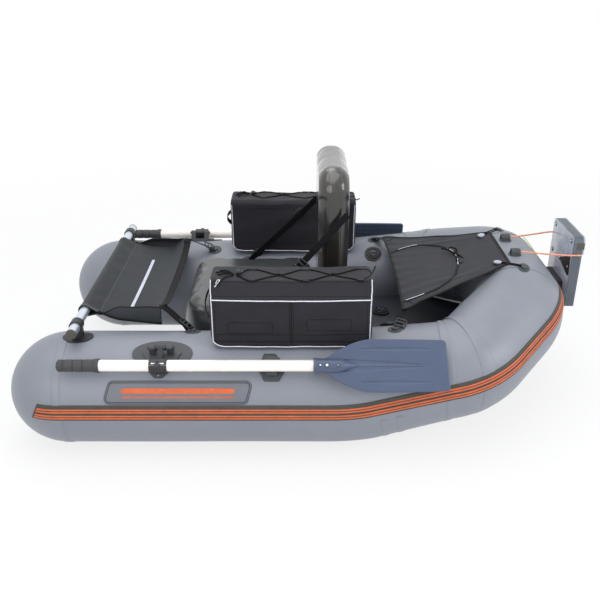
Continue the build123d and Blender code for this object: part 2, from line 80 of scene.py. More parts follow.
def linearColour(hexText):
    # sRGB to linear: v / 12.92 up to 0.04045, and ((v + 0.055) / 1.055) ^ 2.4 above it
    values = np.array([int(hexText[i:i + 2], 16) for i in (1, 3, 5)]) / 255
    linear = np.where(values <= 0.04045, values / 12.92, ((values + 0.055) / 1.055) ** 2.4)
    return (*linear.tolist(), 1.0)


def addNode(tree, kind, settings=(), inputs=()):
    # one node with its settings, and its inputs as values or as links
    node = tree.nodes.new("ShaderNode" + kind)
    for name, value in dict(settings).items():
        if name == "stops":
            while len(node.color_ramp.elements) < len(value):
                node.color_ramp.elements.new(0.5)
            for element, (place, colour) in zip(node.color_ramp.elements, value):
                element.position, element.color = place, colour
        else:
            setattr(node, name, value)
    for name, value in dict(inputs).items():
        if isinstance(value, bpy.types.NodeSocket):
            tree.links.new(value, node.inputs[name])
        else:
            node.inputs[name].default_value = value
    return node


def maths(tree, operation, *values):
    return addNode(tree, "Math", {"operation": operation}, dict(enumerate(values))).outputs[0]


def addRelief(tree, height, strength, depth, under):
    # a bump with its depth in millimetres, laid over the relief under it
    inputs = {"Height": height, "Strength": strength, "Distance": depth / 1000}
    if under:
        inputs["Normal"] = under.outputs["Normal"]
    return addNode(tree, "Bump", inputs=inputs)


def newMaterial(name, look):
    # a Principled surface with cloudy colour, a broad and a fine relief, all in real millimetres
    material = bpy.data.materials.new(name)
    material.use_nodes = True
    tree = material.node_tree
    shader = tree.nodes["Principled BSDF"]
    shader.inputs["Roughness"].default_value = look["roughness"]
    shader.inputs["Metallic"].default_value = look.get("metallic", 0.0)
    if "shine" in look:
        shader.inputs["Specular IOR Level"].default_value = look["shine"]
    if "coat" in look:
        for socket, value in zip(("Coat Weight", "Coat Roughness"), look["coat"]):
            shader.inputs[socket].default_value = value
    if "sheen" in look:
        shader.inputs["Sheen Weight"].default_value = look["sheen"]
        shader.inputs["Sheen Roughness"].default_value = 0.5
    place = addNode(tree, "TexCoord").outputs["Object"]
    cloud = addNode(tree, "TexNoise", inputs={"Vector": place, "Scale": 1000 / look.get("cloudMm", 120),
        "Detail": 4, "Roughness": 0.6})
    spread = look.get("spread", 0.06)
    first = linearColour(look["colour"])
    darker = tuple(v * (1 - 2 * spread) for v in first[:3]) + (1,)
    lighter = tuple(min(1, v * (1 + 2 * spread)) for v in first[:3]) + (1,)
    shade = addNode(tree, "ValToRGB", {"stops": [(0.3, darker), (0.7, lighter)]},
        {"Fac": cloud.outputs["Fac"]})
    tree.links.new(shade.outputs["Color"], shader.inputs["Base Color"])
    rough = addNode(tree, "MapRange", inputs={"Value": cloud.outputs["Fac"], "From Min": 0.3,
        "From Max": 0.7, "To Min": max(0, look["roughness"] - 0.05), "To Max": look["roughness"] + 0.06})
    tree.links.new(rough.outputs["Result"], shader.inputs["Roughness"])
    relief = None
    for size, depth in look.get("relief", ()):
        grain = addNode(tree, "TexNoise", inputs={"Vector": place, "Scale": 1000 / size, "Detail": 2})
        relief = addRelief(tree, grain.outputs["Fac"], 0.6, depth, relief)
    if "weave" in look:
        # over and under threads: sin x * sin y + sin y * sin z + sin z * sin x, so that every side shows it
        size, depth = look["weave"]
        split = addNode(tree, "SeparateXYZ", inputs={"Vector": place})
        x, y, z = [maths(tree, "SINE", maths(tree, "MULTIPLY", split.outputs[axis], 2 * pi * 500 / size))
            for axis in "XYZ"]
        cloth = maths(tree, "MULTIPLY", x, y)
        cloth = maths(tree, "MULTIPLY_ADD", y, z, cloth)
        cloth = maths(tree, "MULTIPLY_ADD", z, x, cloth)
        relief = addRelief(tree, cloth, 0.5, depth, relief)
    if relief:
        tree.links.new(relief.outputs["Normal"], shader.inputs["Normal"])
    return material


looks = {
    # most have the slot that their pieces usually take
    # calendered PVC on polyester cloth: satin, with the threads just showing through
    "coatedPvc": dict(slot="hull_skin", colour="#7f838c", roughness=0.44, coat=(0.12, 0.35), spread=0.035,
        cloudMm=260, relief=((45, 0.5), (3, 0.05)), weave=(2.4, 0.02)),
    # extruded rubber fender: dull, with a mottled lighter and darker tone
    "fenderRubber": dict(slot="strake_rubber", colour="#3e3e39", roughness=0.62, spread=0.12, cloudMm=30,
        relief=((2, 0.15),)),
    "fenderOrange": dict(slot="strake_rubber", colour="#cf5f2c", roughness=0.5, spread=0.08, cloudMm=25,
        relief=((2, 0.1),)),
    # thick glossy vinyl of the air cushions
    "glossVinyl": dict(slot="seat_skin", colour="#2b2f30", roughness=0.4, coat=(0.7, 0.2), spread=0.05,
        cloudMm=150, relief=((70, 1.0), (2.5, 0.03))),
    "backVinyl": dict(slot="back_skin", colour="#201d1a", roughness=0.3, coat=(1.0, 0.12), spread=0.08,
        cloudMm=120, relief=((60, 1.4), (2.5, 0.03))),
    "deckPvc": dict(slot="deck_skin", colour="#3c4049", roughness=0.4, shine=0.3, coat=(0.15, 0.3),
        spread=0.05, relief=((60, 1.5), (3, 0.08))),
    # Oxford polyester: dull weave with a faint bloom at grazing angles
    # its 1 mm threads are drawn at 4.5 mm, so that they show
    "oxfordBlack": dict(slot="bag_cloth", colour="#232329", roughness=0.72, shine=0.25, sheen=0.08,
        spread=0.1, cloudMm=60, relief=((50, 1.6), (14, 0.5)), weave=(4.5, 0.22)),
    "oxfordCover": dict(slot="bag_cloth", colour="#202129", roughness=0.58, shine=0.25, sheen=0.06,
        spread=0.1, cloudMm=70, relief=((70, 2.2), (16, 0.5)), weave=(4.5, 0.2)),
    "apronCloth": dict(slot="apron_cloth", colour="#272b2f", roughness=0.62, shine=0.3, sheen=0.05,
        spread=0.08, cloudMm=70, relief=((60, 2.0), (15, 0.4)), weave=(4.5, 0.2)),
    # near-black tape for bindings and the zip; on the bags' seam lines the same near-black is painted shade
    "darkTapeAndSeamShade": dict(slot="bag_cloth", colour="#151514", roughness=0.6, shine=0.2, relief=((1.5, 0.2),)),
    "reflectivePiping": dict(slot="bag_cloth", colour="#dcdbe4", roughness=0.34, spread=0.05, cloudMm=12,
        relief=((2, 0.1),)),
    # woven polyester webbing, ribbed across
    "webbing": dict(slot="webbing", colour="#101013", roughness=0.62, shine=0.12, sheen=0.03,
        relief=((4, 0.2),), weave=(2.6, 0.35)),
    "bungeeCord": dict(slot="webbing", colour="#100f0d", roughness=0.75, shine=0.15, relief=((2, 0.25),),
        weave=(2.0, 0.3)),
    "tieElastic": dict(slot="tie_cord", colour="#e39a7c", roughness=0.55, spread=0.1, cloudMm=14,
        relief=((2, 0.2),)),
    # clear-anodised tube, drawn lengthways
    "anodisedAluminium": dict(colour="#d3dbe6", roughness=0.3, metallic=0.75, spread=0.03,
        relief=((3, 0.04),)),
    # baked white enamel on tube
    "whiteEnamel": dict(slot="shaft_enamel", colour="#f6efe6", roughness=0.26, coat=(0.4, 0.1),
        spread=0.015, relief=((30, 0.08),)),
    "gripRubber": dict(colour="#38383a", roughness=0.58, spread=0.08, relief=((2.2, 0.3),)),
    # polypropylene, moulded with a fine spark texture
    "bladePlastic": dict(slot="blade_plastic", colour="#47536b", roughness=0.38, spread=0.03, cloudMm=90,
        relief=((40, 0.25), (1.6, 0.05))),
    "nylonDark": dict(slot="fitting_plastic", colour="#292a2d", roughness=0.4, shine=0.4, spread=0.06,
        relief=((1.8, 0.08),)),
    "padPvc": dict(slot="fitting_rubber", colour="#3b3e43", roughness=0.5, spread=0.05,
        relief=((12, 0.3), (2.5, 0.08))),
    # light laminate for the plate's faces and cap and the toggles: its colour is raised well above the dark
    # plate body to stand in for a glossy reflection, a painted reflection
    "laminateWithPaintedReflection": dict(slot="plate_plastic", colour="#a3abb8", roughness=0.24, coat=(0.35, 0.08),
        spread=0.12, cloudMm=50, relief=((60, 0.9), (5, 0.15))),
    "plateEdge": dict(slot="plate_plastic", colour="#565e65", roughness=0.4, spread=0.1,
        relief=((6, 0.3),)),
    "sleeveTape": dict(slot="apron_cloth", colour="#3d4246", roughness=0.66, sheen=0.05,
        relief=((12, 0.3),), weave=(3, 0.15)),
    "printedWhite": dict(slot="apron_cloth", colour="#c9cad8", roughness=0.5, spread=0.03),
    "capPlastic": dict(slot="plate_plastic", colour="#4d4a42", roughness=0.5, relief=((2, 0.1),)),
    "blockRubber": dict(colour="#1b1b22", roughness=0.6, relief=((4, 0.2),)),
    "hoopRubber": dict(slot="fitting_rubber", colour="#3d4143", roughness=0.5, spread=0.1,
        relief=((3, 0.2),)),
    "bridgeCord": dict(slot="tie_cord", colour="#b3ae52", roughness=0.55, spread=0.1, cloudMm=12),
    "panelPvc": dict(slot="patch_skin", colour="#6a6d74", roughness=0.48, spread=0.04, relief=((6, 0.05),)),
    "steel": dict(slot="fitting_plastic", colour="#c9cdd2", roughness=0.25, metallic=1.0, spread=0.04),
    # plain black for print, screw heads and border lines; as rings and discs round bolts and screws and as
    # the plate's wedge it is painted shade of recesses
    "blackPrintAndRecessShade": dict(slot="plate_plastic", colour="#141518", roughness=0.6),
}
materials = {name: newMaterial(name, look) for name, look in looks.items()}
print("materials made")


# Shapes: a shape is (points, faces), where faces is a list of index arrays


def gridFaces(rows, columns, closedRows=False, closedColumns=False):
    # a quad between each grid point, its neighbour down, diagonal and across, wrapped where closed
    i = np.arange(rows if closedRows else rows - 1)[:, None]
    j = np.arange(columns if closedColumns else columns - 1)[None, :]
    down, across = (i + 1) % rows, (j + 1) % columns
    quads = [i * columns + j, down * columns + j, down * columns + across, i * columns + across]
    return np.stack(np.broadcast_arrays(*quads), -1).reshape(-1, 4)


def gridShape(points, closedRows=False, closedColumns=False, caps=False):
    # points[i, j] is one point of a two-parameter surface; caps close a tube's first and last rows
    rows, columns = points.shape[:2]
    faces = [gridFaces(rows, columns, closedRows, closedColumns)]
    if caps:
        ring = np.arange(columns)
        faces += [ring[None, :], ring[None, :] + (rows - 1) * columns]
    return points.reshape(-1, 3), faces


def joined(*shapes):
    points, faces, count = [], [], 0
    for shapePoints, shapeFaces in shapes:
        points.append(shapePoints)
        faces += [f + count for f in shapeFaces]
        count += len(shapePoints)
    return np.concatenate(points), faces


def mirrored(shape):
    # port copy: y changes sign, and each face runs the other way so that it still points outwards
    return shape[0] * (1, -1, 1), [f[:, ::-1] for f in shape[1]]


def bothSides(*shapes):
    shape = joined(*shapes)
    return joined(shape, mirrored(shape))


def acrossNose(rows):
    # starboard rows that end on the middle line, carried on to port
    return np.concatenate([rows, (rows * (1, -1, 1))[-2::-1]])


def spread(*columns):
    # x, y and z of any matching shapes, as one array of points
    return np.stack(np.broadcast_arrays(*columns), -1)


def share(value):
    return np.clip(value, 0, 1)


def quarter(count):
    # angles over a quarter turn
    return np.linspace(0, pi / 2, count)


def eased(value):
    # 3 t ^ 2 - 2 t ^ 3
    return value * value * (3 - 2 * value)


def unit(vectors):
    return vectors / np.linalg.norm(vectors, axis=-1, keepdims=True)


def placed(shape, origin, xAxis, yAxis, zAxis):
    # local x, y, z along three given directions
    axes = np.array([xAxis, yAxis, zAxis], float)
    return shape[0] @ axes + np.array(origin), shape[1]


def moved(shape, by):
    return shape[0] + by, shape[1]


def addPiece(name, shape, material, body="hull", replaces=(), closed=True, sharp=40):
    mesh = bpy.data.meshes.new(name)
    mesh.from_pydata(shape[0].tolist(), [], [f for group in shape[1] for f in group.tolist()])
    tidy = bmesh.new()
    tidy.from_mesh(mesh)
    bmesh.ops.remove_doubles(tidy, verts=tidy.verts, dist=1e-6)
    if closed:
        bmesh.ops.recalc_face_normals(tidy, faces=tidy.faces)
    tidy.to_mesh(mesh)
    tidy.free()
    mesh.materials.append(materials[material])
    mesh.shade_smooth()
    mesh.set_sharp_from_angle(angle=math.radians(sharp))
    piece = bpy.data.objects.new(name, mesh)
    scene.collection.objects.link(piece)
    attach(piece, body)
    if replaces:
        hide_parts(*replaces)
    return piece


def thicken(piece, thickness, offset=0):
    # one cloth thickness, to both sides of the surface or below it
    thick = piece.modifiers.new("cloth thickness", "SOLIDIFY")
    thick.thickness, thick.offset = thickness, offset


def carry(path, profile, facing, closedPath=False, swell=None):
    # profile x runs across the path (path direction x facing) and profile y runs out along facing
    if closedPath:
        way = unit(np.roll(path, -1, 0) - np.roll(path, 1, 0))
    else:
        way = unit(np.gradient(path, axis=0))
    side = unit(np.cross(way, np.broadcast_to(facing, path.shape)))
    out = np.cross(side, way)
    scale = 1 if swell is None else swell[:, None, None]
    points = path[:, None] + side[:, None] * profile[None, :, :1] * scale
    points = points + out[:, None] * profile[None, :, 1:] * scale
    return gridShape(points, closedRows=closedPath, closedColumns=True, caps=not closedPath)


def ellipseProfile(halfWidth, halfHeight, count=12, power=1.0):
    # x = a * cos(t) ^ power, y = b * sin(t) ^ power, with their signs kept
    t = np.linspace(0, 2 * pi, count, endpoint=False) + pi / count
    c, s = np.cos(t), np.sin(t)
    return np.stack([halfWidth * np.sign(c) * np.abs(c) ** power,
        halfHeight * np.sign(s) * np.abs(s) ** power], -1)


upward = (0, 0, 1)


def smoothPath(points, count):
    # a uniform Catmull-Rom curve through the points, as whole arrays
    p = np.array(points, float)
    p = np.concatenate([[2 * p[0] - p[1]], p, [2 * p[-1] - p[-2]]])
    t = np.linspace(0, len(points) - 1 - 1e-9, count)
    i = t.astype(int)
    f = (t - i)[:, None]
    a, b, c, d = p[i], p[i + 1], p[i + 2], p[i + 3]
    square, cube = 2 * a - 5 * b + 4 * c - d, 3 * b - a - 3 * c + d
    return 0.5 * (2 * b + (c - a) * f + square * f ** 2 + cube * f ** 3)


def roundRod(points, radius, count=40, sides=8, smooth=True):
    # a cord or rod whose ends shrink to a rounded tip
    path = smoothPath(points, count) if smooth else np.array(points, float)
    swell = np.ones(len(path))
    swell[[0, -1]] = 0.55
    return carry(path, ellipseProfile(radius, radius, sides), upward, swell=swell)


def turned(profile, count=32):
    # profile (height along z, radius), spun round z: x = r cos a, y = r sin a
    heights, radii = np.array(profile, float).T
    a = np.linspace(0, 2 * pi, count, endpoint=False)
    points = np.stack([radii[:, None] * np.cos(a), radii[:, None] * np.sin(a),
        np.broadcast_to(heights[:, None], (len(heights), count))], -1)
    return gridShape(points, closedColumns=True, caps=True)


def rectangle(x0, y0, x1, y1):
    return np.array([(x0, y0), (x1, y0), (x1, y1), (x0, y1)], float)


def outlineNormals(outline):
    way = unit(np.roll(outline, -1, 0) - np.roll(outline, 1, 0))
    return np.stack([way[:, 1], -way[:, 0]], -1)


def roundedPolygon(corners, radius, steps=6):
    # each corner becomes an arc: the corner plus r * (unit from centre) over the turn between its sides
    corners = np.array(corners, float)
    before = unit(corners - np.roll(corners, 1, 0))
    after = unit(np.roll(corners, -1, 0) - corners)
    turn = np.arctan2(before[:, 0] * after[:, 1] - before[:, 1] * after[:, 0], (before * after).sum(-1))
    t = np.linspace(0, 1, steps)[None, :, None] * turn[:, None, None]
    cut = radius * np.tan(np.abs(turn) / 2)[:, None]
    start = (corners - before * cut)[:, None]
    left = np.stack([-before[:, 1], before[:, 0]], -1)[:, None] * np.sign(turn)[:, None, None]
    arc = start + radius * (np.sin(np.abs(t)) * before[:, None] + (1 - np.cos(np.abs(t))) * left)
    return arc.reshape(-1, 2)


def slab(outline, thickness, bevel=0.0006, low=0.0):
    # a flat plate from z = low to low + thickness, its outline pulled in round both rims
    outline = np.array(outline, float)
    normals = outlineNormals(outline)
    ahead = np.roll(outline, -1, 0)
    area = 0.5 * np.sum(outline[:, 0] * ahead[:, 1] - ahead[:, 0] * outline[:, 1])
    normals = normals if area > 0 else -normals
    t = quarter(4)
    inset = bevel * np.concatenate([1 - np.sin(t), (1 - np.sin(t))[::-1]])
    height = low + np.concatenate([bevel * (1 - np.cos(t)), thickness - bevel * (1 - np.cos(t))[::-1]])
    flat = outline[None] - normals[None] * inset[:, None, None]
    points = np.concatenate([flat, np.broadcast_to(height[:, None, None], (len(height), len(outline), 1))],
        -1)
    return gridShape(points, closedColumns=True, caps=True)


def regularOutline(count, radius, radius2=None):
    a = np.linspace(0, 2 * pi, count, endpoint=False)
    return np.stack([radius * np.cos(a), (radius2 or radius) * np.sin(a)], -1)


# The hull's route: straight runs joined by circular bends, starboard half, then mirrored to port
hull = {"tip": (-0.9525, -0.41, 0.18), "tipLength": 0.188, "knuckle": (0.1335, -0.41, 0.18),
    "cheek": (0.5215, -0.41, 0.255), "corner": (0.7295, -0.197, 0.347), "nose": (0.7295, 0, 0.347),
    "bends": (0.6, 0.176, 0.172), "pontoonRadius": 0.18, "bowRadius": 0.158, "spacing": 0.012}


def bentRoute(corners, bends, side, spacing):
    # runs p = start + way * s; bends p = start + R * (sin f * way + (1 - cos f) * inward),
    # with the side direction turned by the same angle round the bend's axis
    corners, side, rows, marks = np.array(corners, float), np.array(side, float), [], []
    ways, start = unit(np.diff(corners, axis=0)), corners[0]
    for i, way in enumerate(ways):
        last = i == len(ways) - 1
        angle = 0 if last else math.acos(way @ ways[i + 1])
        end = corners[i + 1] - (0 if last else bends[i] * math.tan(angle / 2)) * way
        t = np.linspace(0, 1, max(3, int(np.linalg.norm(end - start) / spacing)))[:, None]
        rows.append(np.hstack([start + (end - start) * t, way + 0 * t, side + 0 * t]))
        marks.append(end)
        if not last:
            axis = unit(np.cross(way, ways[i + 1]))
            inward = np.cross(axis, way)
            f = np.linspace(0, angle, max(4, int(bends[i] * angle / spacing)))[:, None]
            turnedSide = side * np.cos(f) + np.cross(axis, side) * np.sin(f) + axis * (axis @ side) * (1
                - np.cos(f))
            rows.append(np.hstack([end + bends[i] * (np.sin(f) * way + (1 - np.cos(f)) * inward),
                way * np.cos(f) + inward * np.sin(f), turnedSide]))
            start, side = rows[-1][-1, :3], turnedSide[-1]
            marks.append(start)
    rows = np.concatenate([rows[0]] + [row[1:] for row in rows[1:]])
    length = np.concatenate([[0], np.cumsum(np.linalg.norm(np.diff(rows[:, :3], axis=0), axis=1))])
    marks = [length[np.argmin(np.linalg.norm(rows[:, :3] - mark, axis=1))] for mark in marks]
    return length, rows, marks


routeLength, routeRows, routeMarks = bentRoute([hull[name] for name in ("tip", "knuckle", "cheek", "corner",
    "nose")], hull["bends"], (0, -1, 0), hull["spacing"])
kneeStart, shoulderStart, cheekStart, _, cornerStart, cornerStop, noseAt = routeMarks


def hullRadius(s):
    # elliptical tip R * sqrt(1 - (1 - s / L) ^ 2), then level, then a straight taper up the shoulder
    tip = np.sqrt(share(1 - (1 - share(s / hull["tipLength"])) ** 2))
    return tip * np.interp(s, [shoulderStart, cheekStart], [hull["pontoonRadius"], hull["bowRadius"]])


def hullFrame(s):
    # centre of the tube, and its outboard and upward directions, at distance s
    values = np.stack([np.interp(np.ravel(s), routeLength, column) for column in routeRows.T],
        -1).reshape(*np.shape(s), 9)
    side = unit(values[..., 6:])
    return values[..., :3], side, unit(np.cross(side, values[..., 3:6]))


def onHull(s, angle, off=0.0):
    # centre + (radius + off) * (cos a * side + sin a * up), at distance s from the tip
    s, angle = np.broadcast_arrays(np.asarray(s, float), np.asarray(angle, float))
    centre, side, up = hullFrame(s)
    reach = (hullRadius(s) + off)[..., None]
    return centre + reach * (np.cos(angle)[..., None] * side + np.sin(angle)[..., None] * up)


def hullDents(s, angle):
    # soft compression creases on the inside of the bends, and a slight slackness of the whole skin
    inside = share(np.cos(angle - math.radians(150))) ** 2
    creases = sum(np.exp(-((s - place) / 0.07) ** 2) * np.sin((s - place) * 2 * pi / 0.034)
        for place in (cheekStart + 0.07, cornerStart + 0.06))
    knee = np.exp(-((s - kneeStart - 0.03) / 0.09) ** 2) * np.sin((s - kneeStart) * 2 * pi / 0.045)
    above = share(np.sin(angle)) ** 2
    slack = 0.0005 * np.sin(s * 9.1 + 2.3 * np.sin(angle * 2)) * np.cos(angle * 3 + s * 4)
    return -0.0013 * inside * (1 + creases) * (np.abs(creases) > 0.01) + slack - 0.0005 * above * (1 + knee)


tipRows = hull["tipLength"] * (1 - np.cos(quarter(22)))
skinRows = np.concatenate([tipRows, np.arange(hull["tipLength"] + 0.012, noseAt - 0.004, 0.0085), [noseAt]])
skinAngles = np.linspace(0, 2 * pi, 96, endpoint=False)
s, angle = np.meshgrid(skinRows, skinAngles, indexing="ij")
dents = hullDents(s, angle) * share((s - 0.1) / 0.15) * share((noseAt - s) / 0.05)
underStrake = np.abs(angle - 2 * pi * (angle > pi)) < 0.35
half = onHull(s, angle, np.where(underStrake, np.minimum(dents, 0), dents) - 0.0004)
addPiece("hull_skin", gridShape(acrossNose(half), closedColumns=True), "coatedPvc", sharp=80,
    replaces=("starboard_pontoon", "port_pontoon", "starboard_shoulder", "port_shoulder", "bow_tube"))


# Lapped seams: each panel's edge stands one cloth thickness proud of its neighbour
seams = {"lap": 0.026, "step": 0.0011, "places": (0.19,), "crossings": (-0.012, 0.063), "taper": 0.02,
    "taperStep": 0.0009}


def hullBand(rows, width, step, lean=0.0, toAngle=pi):
    # a strip round the tube: distance s = place + lean * angle, height a flat hump with soft edges
    across = np.array([-0.5, -0.46, -0.4, 0, 0.4, 0.46, 0.5])
    lift = np.array([0.05, 0.7, 1, 1.02, 1, 0.7, 0.05]) * step
    a = np.linspace(-pi, toAngle, 72)
    points = onHull(rows + lean * a[:, None] + across * width, a[:, None] + 0 * across,
        lift + 0 * a[:, None])
    points[..., 2] = np.maximum(points[..., 2], 0.0001)
    return gridShape(points.swapaxes(0, 1))


seamShapes = [hullBand(place, seams["lap"], seams["step"]) for place in seams["places"]]
seamShapes += [hullBand(cheekStart + extra, seams["lap"], seams["step"], lean=0.012)
    for extra in seams["crossings"]]
seamShapes += [hullBand(cornerStop - 0.03, seams["lap"], seams["step"])]
seamShapes += [hullBand(shoulderStart + extra, seams["taper"], seams["taperStep"], toAngle=-0.2)
    for extra in (0.04, 0.09)]
addPiece("hull_seams", joined(*map(bothSides, seamShapes)), "coatedPvc", closed=False)


# Rubbing strake: an extruded fender with two raised ribs and four painted lines
strake = {"start": 0.107, "slant": 0.025, "lift": 0.013, "half": 0.026,
    "section": ((-26, 0.2), (-25.6, 1.6), (-24.4, 2.3), (-21.4, 2.5), (-20.6, 3.5), (-13, 3.8), (-5.6, 3.5),
    (-4.8, 2.4), (-0.9, 2.4), (-0.1, 3.5), (7, 3.8), (14.4, 3.5), (15.2, 2.6), (20, 3.2), (24.4, 2.6),
    (25.6, 1.6), (26, 0.2)), "lines": ((-19.8, -14.9), (-11.6, -6.5), (0.7, 5.6), (8.9, 13.9)),
    "noseScale": 0.93, "paint": 0.0005}


def strakeGrid(v, off, begin):
    # distance runs from a start slanted across the strake to the nose; angle = lift angle + v / radius
    t = np.linspace(0, 1, 260)[:, None]
    first = strake["start"] + strake["slant"] * (v / strake["half"] + 1) / 2 + begin
    rows = first + (noseAt - first) * t
    radius = hullRadius(rows)
    narrow = np.interp(rows, [cheekStart, cornerStart], [1, strake["noseScale"]])
    angle = np.arcsin(np.clip(strake["lift"] / radius, -1, 1)) + v * narrow / radius
    return onHull(rows, angle, off + 0 * rows)


section = np.array(strake["section"]) / 1000
band = strakeGrid(section[:, 0], section[:, 1], 0.0)
start = strakeGrid(section[:, 0], section[:, 1] * 0 + 0.0002, -0.002)[:1]
band = acrossNose(np.concatenate([start, band]))
addPiece("strake", gridShape(band), "fenderRubber", sharp=30, closed=False,
    replaces=("pontoon_strakes", "shoulder_strakes", "bow_strake"))
lineShapes = []
for low, high in strake["lines"]:
    v = np.linspace(low, high, 7) / 1000
    shape = np.interp(v, section[:, 0], section[:, 1]) + strake["paint"] * np.array([0, 0.8, 1, 1, 1, 0.8,
        0])
    lineShapes.append(gridShape(acrossNose(strakeGrid(v, shape + 0.00008, 0.004))))
addPiece("strake_lines", joined(*lineShapes), "fenderOrange", sharp=60, closed=False)
print("hull and strake built")


# Air cushions: an even mesh blown up by cloth pressure, with each point's travel capped


def blownUp(piece, voxel, pressure, cap, low, high, moments=20):
    # the result is start + travel * min(1, cap / |travel|), held inside the room the cushion has
    even = piece.modifiers.new("even mesh", "REMESH")
    even.mode, even.voxel_size = "VOXEL", voxel
    graph = bpy.context.evaluated_depsgraph_get()
    mesh = bpy.data.meshes.new_from_object(piece.evaluated_get(graph))
    piece.modifiers.clear()
    piece.data = mesh
    start = np.empty(len(mesh.vertices) * 3)
    mesh.vertices.foreach_get("co", start)
    place = start.copy()
    cloth = piece.modifiers.new("air", "CLOTH")
    cloth.settings.use_pressure = True
    cloth.settings.uniform_pressure_force = pressure
    cloth.settings.effector_weights.gravity = 0
    cloth.settings.quality = 5
    cloth.point_cache.frame_start, cloth.point_cache.frame_end = 1, moments
    for moment in range(1, moments + 1):
        scene.frame_set(moment)
    graph = bpy.context.evaluated_depsgraph_get()
    piece.evaluated_get(graph).data.vertices.foreach_get("co", place)
    piece.modifiers.clear()
    scene.frame_set(1)
    travel = (place - start).reshape(-1, 3)
    length = np.linalg.norm(travel, axis=1, keepdims=True)
    swollen = start.reshape(-1, 3) + travel * np.minimum(1, cap / np.maximum(length, 1e-9))
    mesh.vertices.foreach_set("co", np.clip(swollen, low, high).ravel())
    mesh.shade_smooth()
    mesh.update()
    finer = piece.modifiers.new("finer", "SUBSURF")
    finer.levels = finer.render_levels = 1
    return piece


def pillowShape(outline, thickness, edge, inset):
    # a thick plate with big quarter-round rims: inset = edge * (1 - sin t), height = edge * (1 - cos t)
    outline = np.array(outline, float)
    normals = outlineNormals(outline)
    t = quarter(8)
    drawIn = inset + edge * np.concatenate([1 - np.sin(t), (1 - np.sin(t))[::-1]])
    height = np.concatenate([edge * (1 - np.cos(t)), thickness - edge * (1 - np.cos(t))[::-1]])
    middle = outline.mean(0)
    flat = outline[None] - normals[None] * drawIn[:, None, None]
    rings = [np.concatenate([flat, np.broadcast_to(height[:, None, None], (len(height), len(outline), 1))],
        -1)]
    for level, first in ((0, 0), (thickness, -1)):
        k = np.array([0.75, 0.5, 0.25, 0.0])[:, None, None]
        inner = middle + (rings[0][first, :, :2] - middle) * k
        disc = np.concatenate([inner, np.full((*inner.shape[:2], 1), float(level))], -1)
        rings = [disc[::-1]] + rings if first == 0 else rings + [disc]
    return gridShape(np.concatenate(rings), closedColumns=True)


def shownAt(path, piece):
    # the nearest place on a piece's shown surface to each path point, and the normal there
    shown = piece.evaluated_get(bpy.context.evaluated_depsgraph_get())
    found = [shown.closest_point_on_mesh(Vector(point))[1:3] for point in path]
    return np.array(found)[:, 0], np.array(found)[:, 1]


def snapped(path, piece, off):
    place, normal = shownAt(path, piece)
    return place + normal * off


def skinLine(piece, path, radius, off=0.0, flat=0.7, closedPath=False):
    # a thin cord laid along a path on a piece's shown surface
    path = snapped(path, piece, off)
    return carry(path, ellipseProfile(radius, radius * flat, 8), shownAt(path, piece)[1],
        closedPath=closedPath)


# Seat: a deep air cushion between the pontoons
seat = {"corner": 0.075, "edge": 0.036, "inset": 0.006, "voxel": 0.0085, "pressure": 4.0, "cap": 0.011,
    "weltInset": 0.004, "welt": 0.0013, "slack": 0.006, "weltCorner": 0.072, "weltDrop": 0.03}
seatLow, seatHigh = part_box("seat_cushion")
seatOutline = roundedPolygon(rectangle(seatLow.x, seatLow.y, seatHigh.x, seatHigh.y), seat["corner"], 9)
seatShape = pillowShape(seatOutline, seatHigh.z - seatLow.z - seat["slack"], seat["edge"], seat["inset"])
seatCushion = addPiece("seat_vinyl", moved(seatShape, (0, 0, seatLow.z)), "glossVinyl",
    replaces=["seat_cushion"])
blownUp(seatCushion, seat["voxel"], seat["pressure"], seat["cap"], np.array(seatLow), np.array(seatHigh))
inset = seat["weltInset"]
seamRing = roundedPolygon(rectangle(seatLow.x + inset, seatLow.y + inset, seatHigh.x - inset,
    seatHigh.y - inset), seat["weltCorner"], 14)
weltShapes = [skinLine(seatCushion, spread(*seamRing.T, height), seat["welt"], 0.0001, closedPath=True)
    for height in (seatHigh.z - seat["weltDrop"], seatLow.z + seat["weltDrop"])]
addPiece("seat_welts", joined(*weltShapes), "glossVinyl")
print("seat built")


# Backrest: an upright air cushion with a gusset strip between two seams
back = {"corner": 0.085, "edge": 0.040, "inset": 0.006, "voxel": 0.0085, "pressure": 4.0, "cap": 0.010,
    "seams": (0.0665, 0.1205), "seamSize": 0.0012, "slack": 0.004}
backLow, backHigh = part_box("backrest")


def archOutline(top, bottom, half, corner, foot=0.03):
    # up one side, round the two top corners and down the other side, in the plane of y and z
    a, b = quarter(12), quarter(5)
    right = np.stack([half - corner + corner * np.cos(a), top - corner + corner * np.sin(a)], -1)
    left = np.stack([-(half - corner) - corner * np.sin(a), top - corner + corner * np.cos(a)], -1)
    leftFoot = np.stack([-half + foot - foot * np.cos(b), bottom + foot - foot * np.sin(b)], -1)
    rightFoot = np.stack([half - foot + foot * np.sin(b), bottom + foot - foot * np.cos(b)], -1)
    sides = np.linspace(0, 1, 14)[1:-1, None]
    parts = [right, left, leftFoot, rightFoot]
    return np.concatenate([row for part, after in zip(parts, parts[1:] + parts[:1])
        for row in (part, part[-1] + (after[0] - part[-1]) * sides)])


backOutline = archOutline(backHigh.z, backLow.z, backHigh.y, back["corner"])
backShape = pillowShape(backOutline, backHigh.x - backLow.x - back["slack"], back["edge"], back["inset"])
backShape = placed(backShape, (backLow.x + back["slack"] / 2, 0, 0), (0, 1, 0), (0, 0, 1), (1, 0, 0))
backCushion = addPiece("backrest_vinyl", backShape, "backVinyl", replaces=["backrest"])
blownUp(backCushion, back["voxel"], back["pressure"], back["cap"], np.array(backLow), np.array(backHigh))
weltShapes = [skinLine(backCushion, spread(place, *backOutline.T), back["seamSize"], 0.0003,
    closedPath=True) for place in back["seams"]]
addPiece("backrest_welts", joined(*weltShapes), "backVinyl")
print("backrest built")


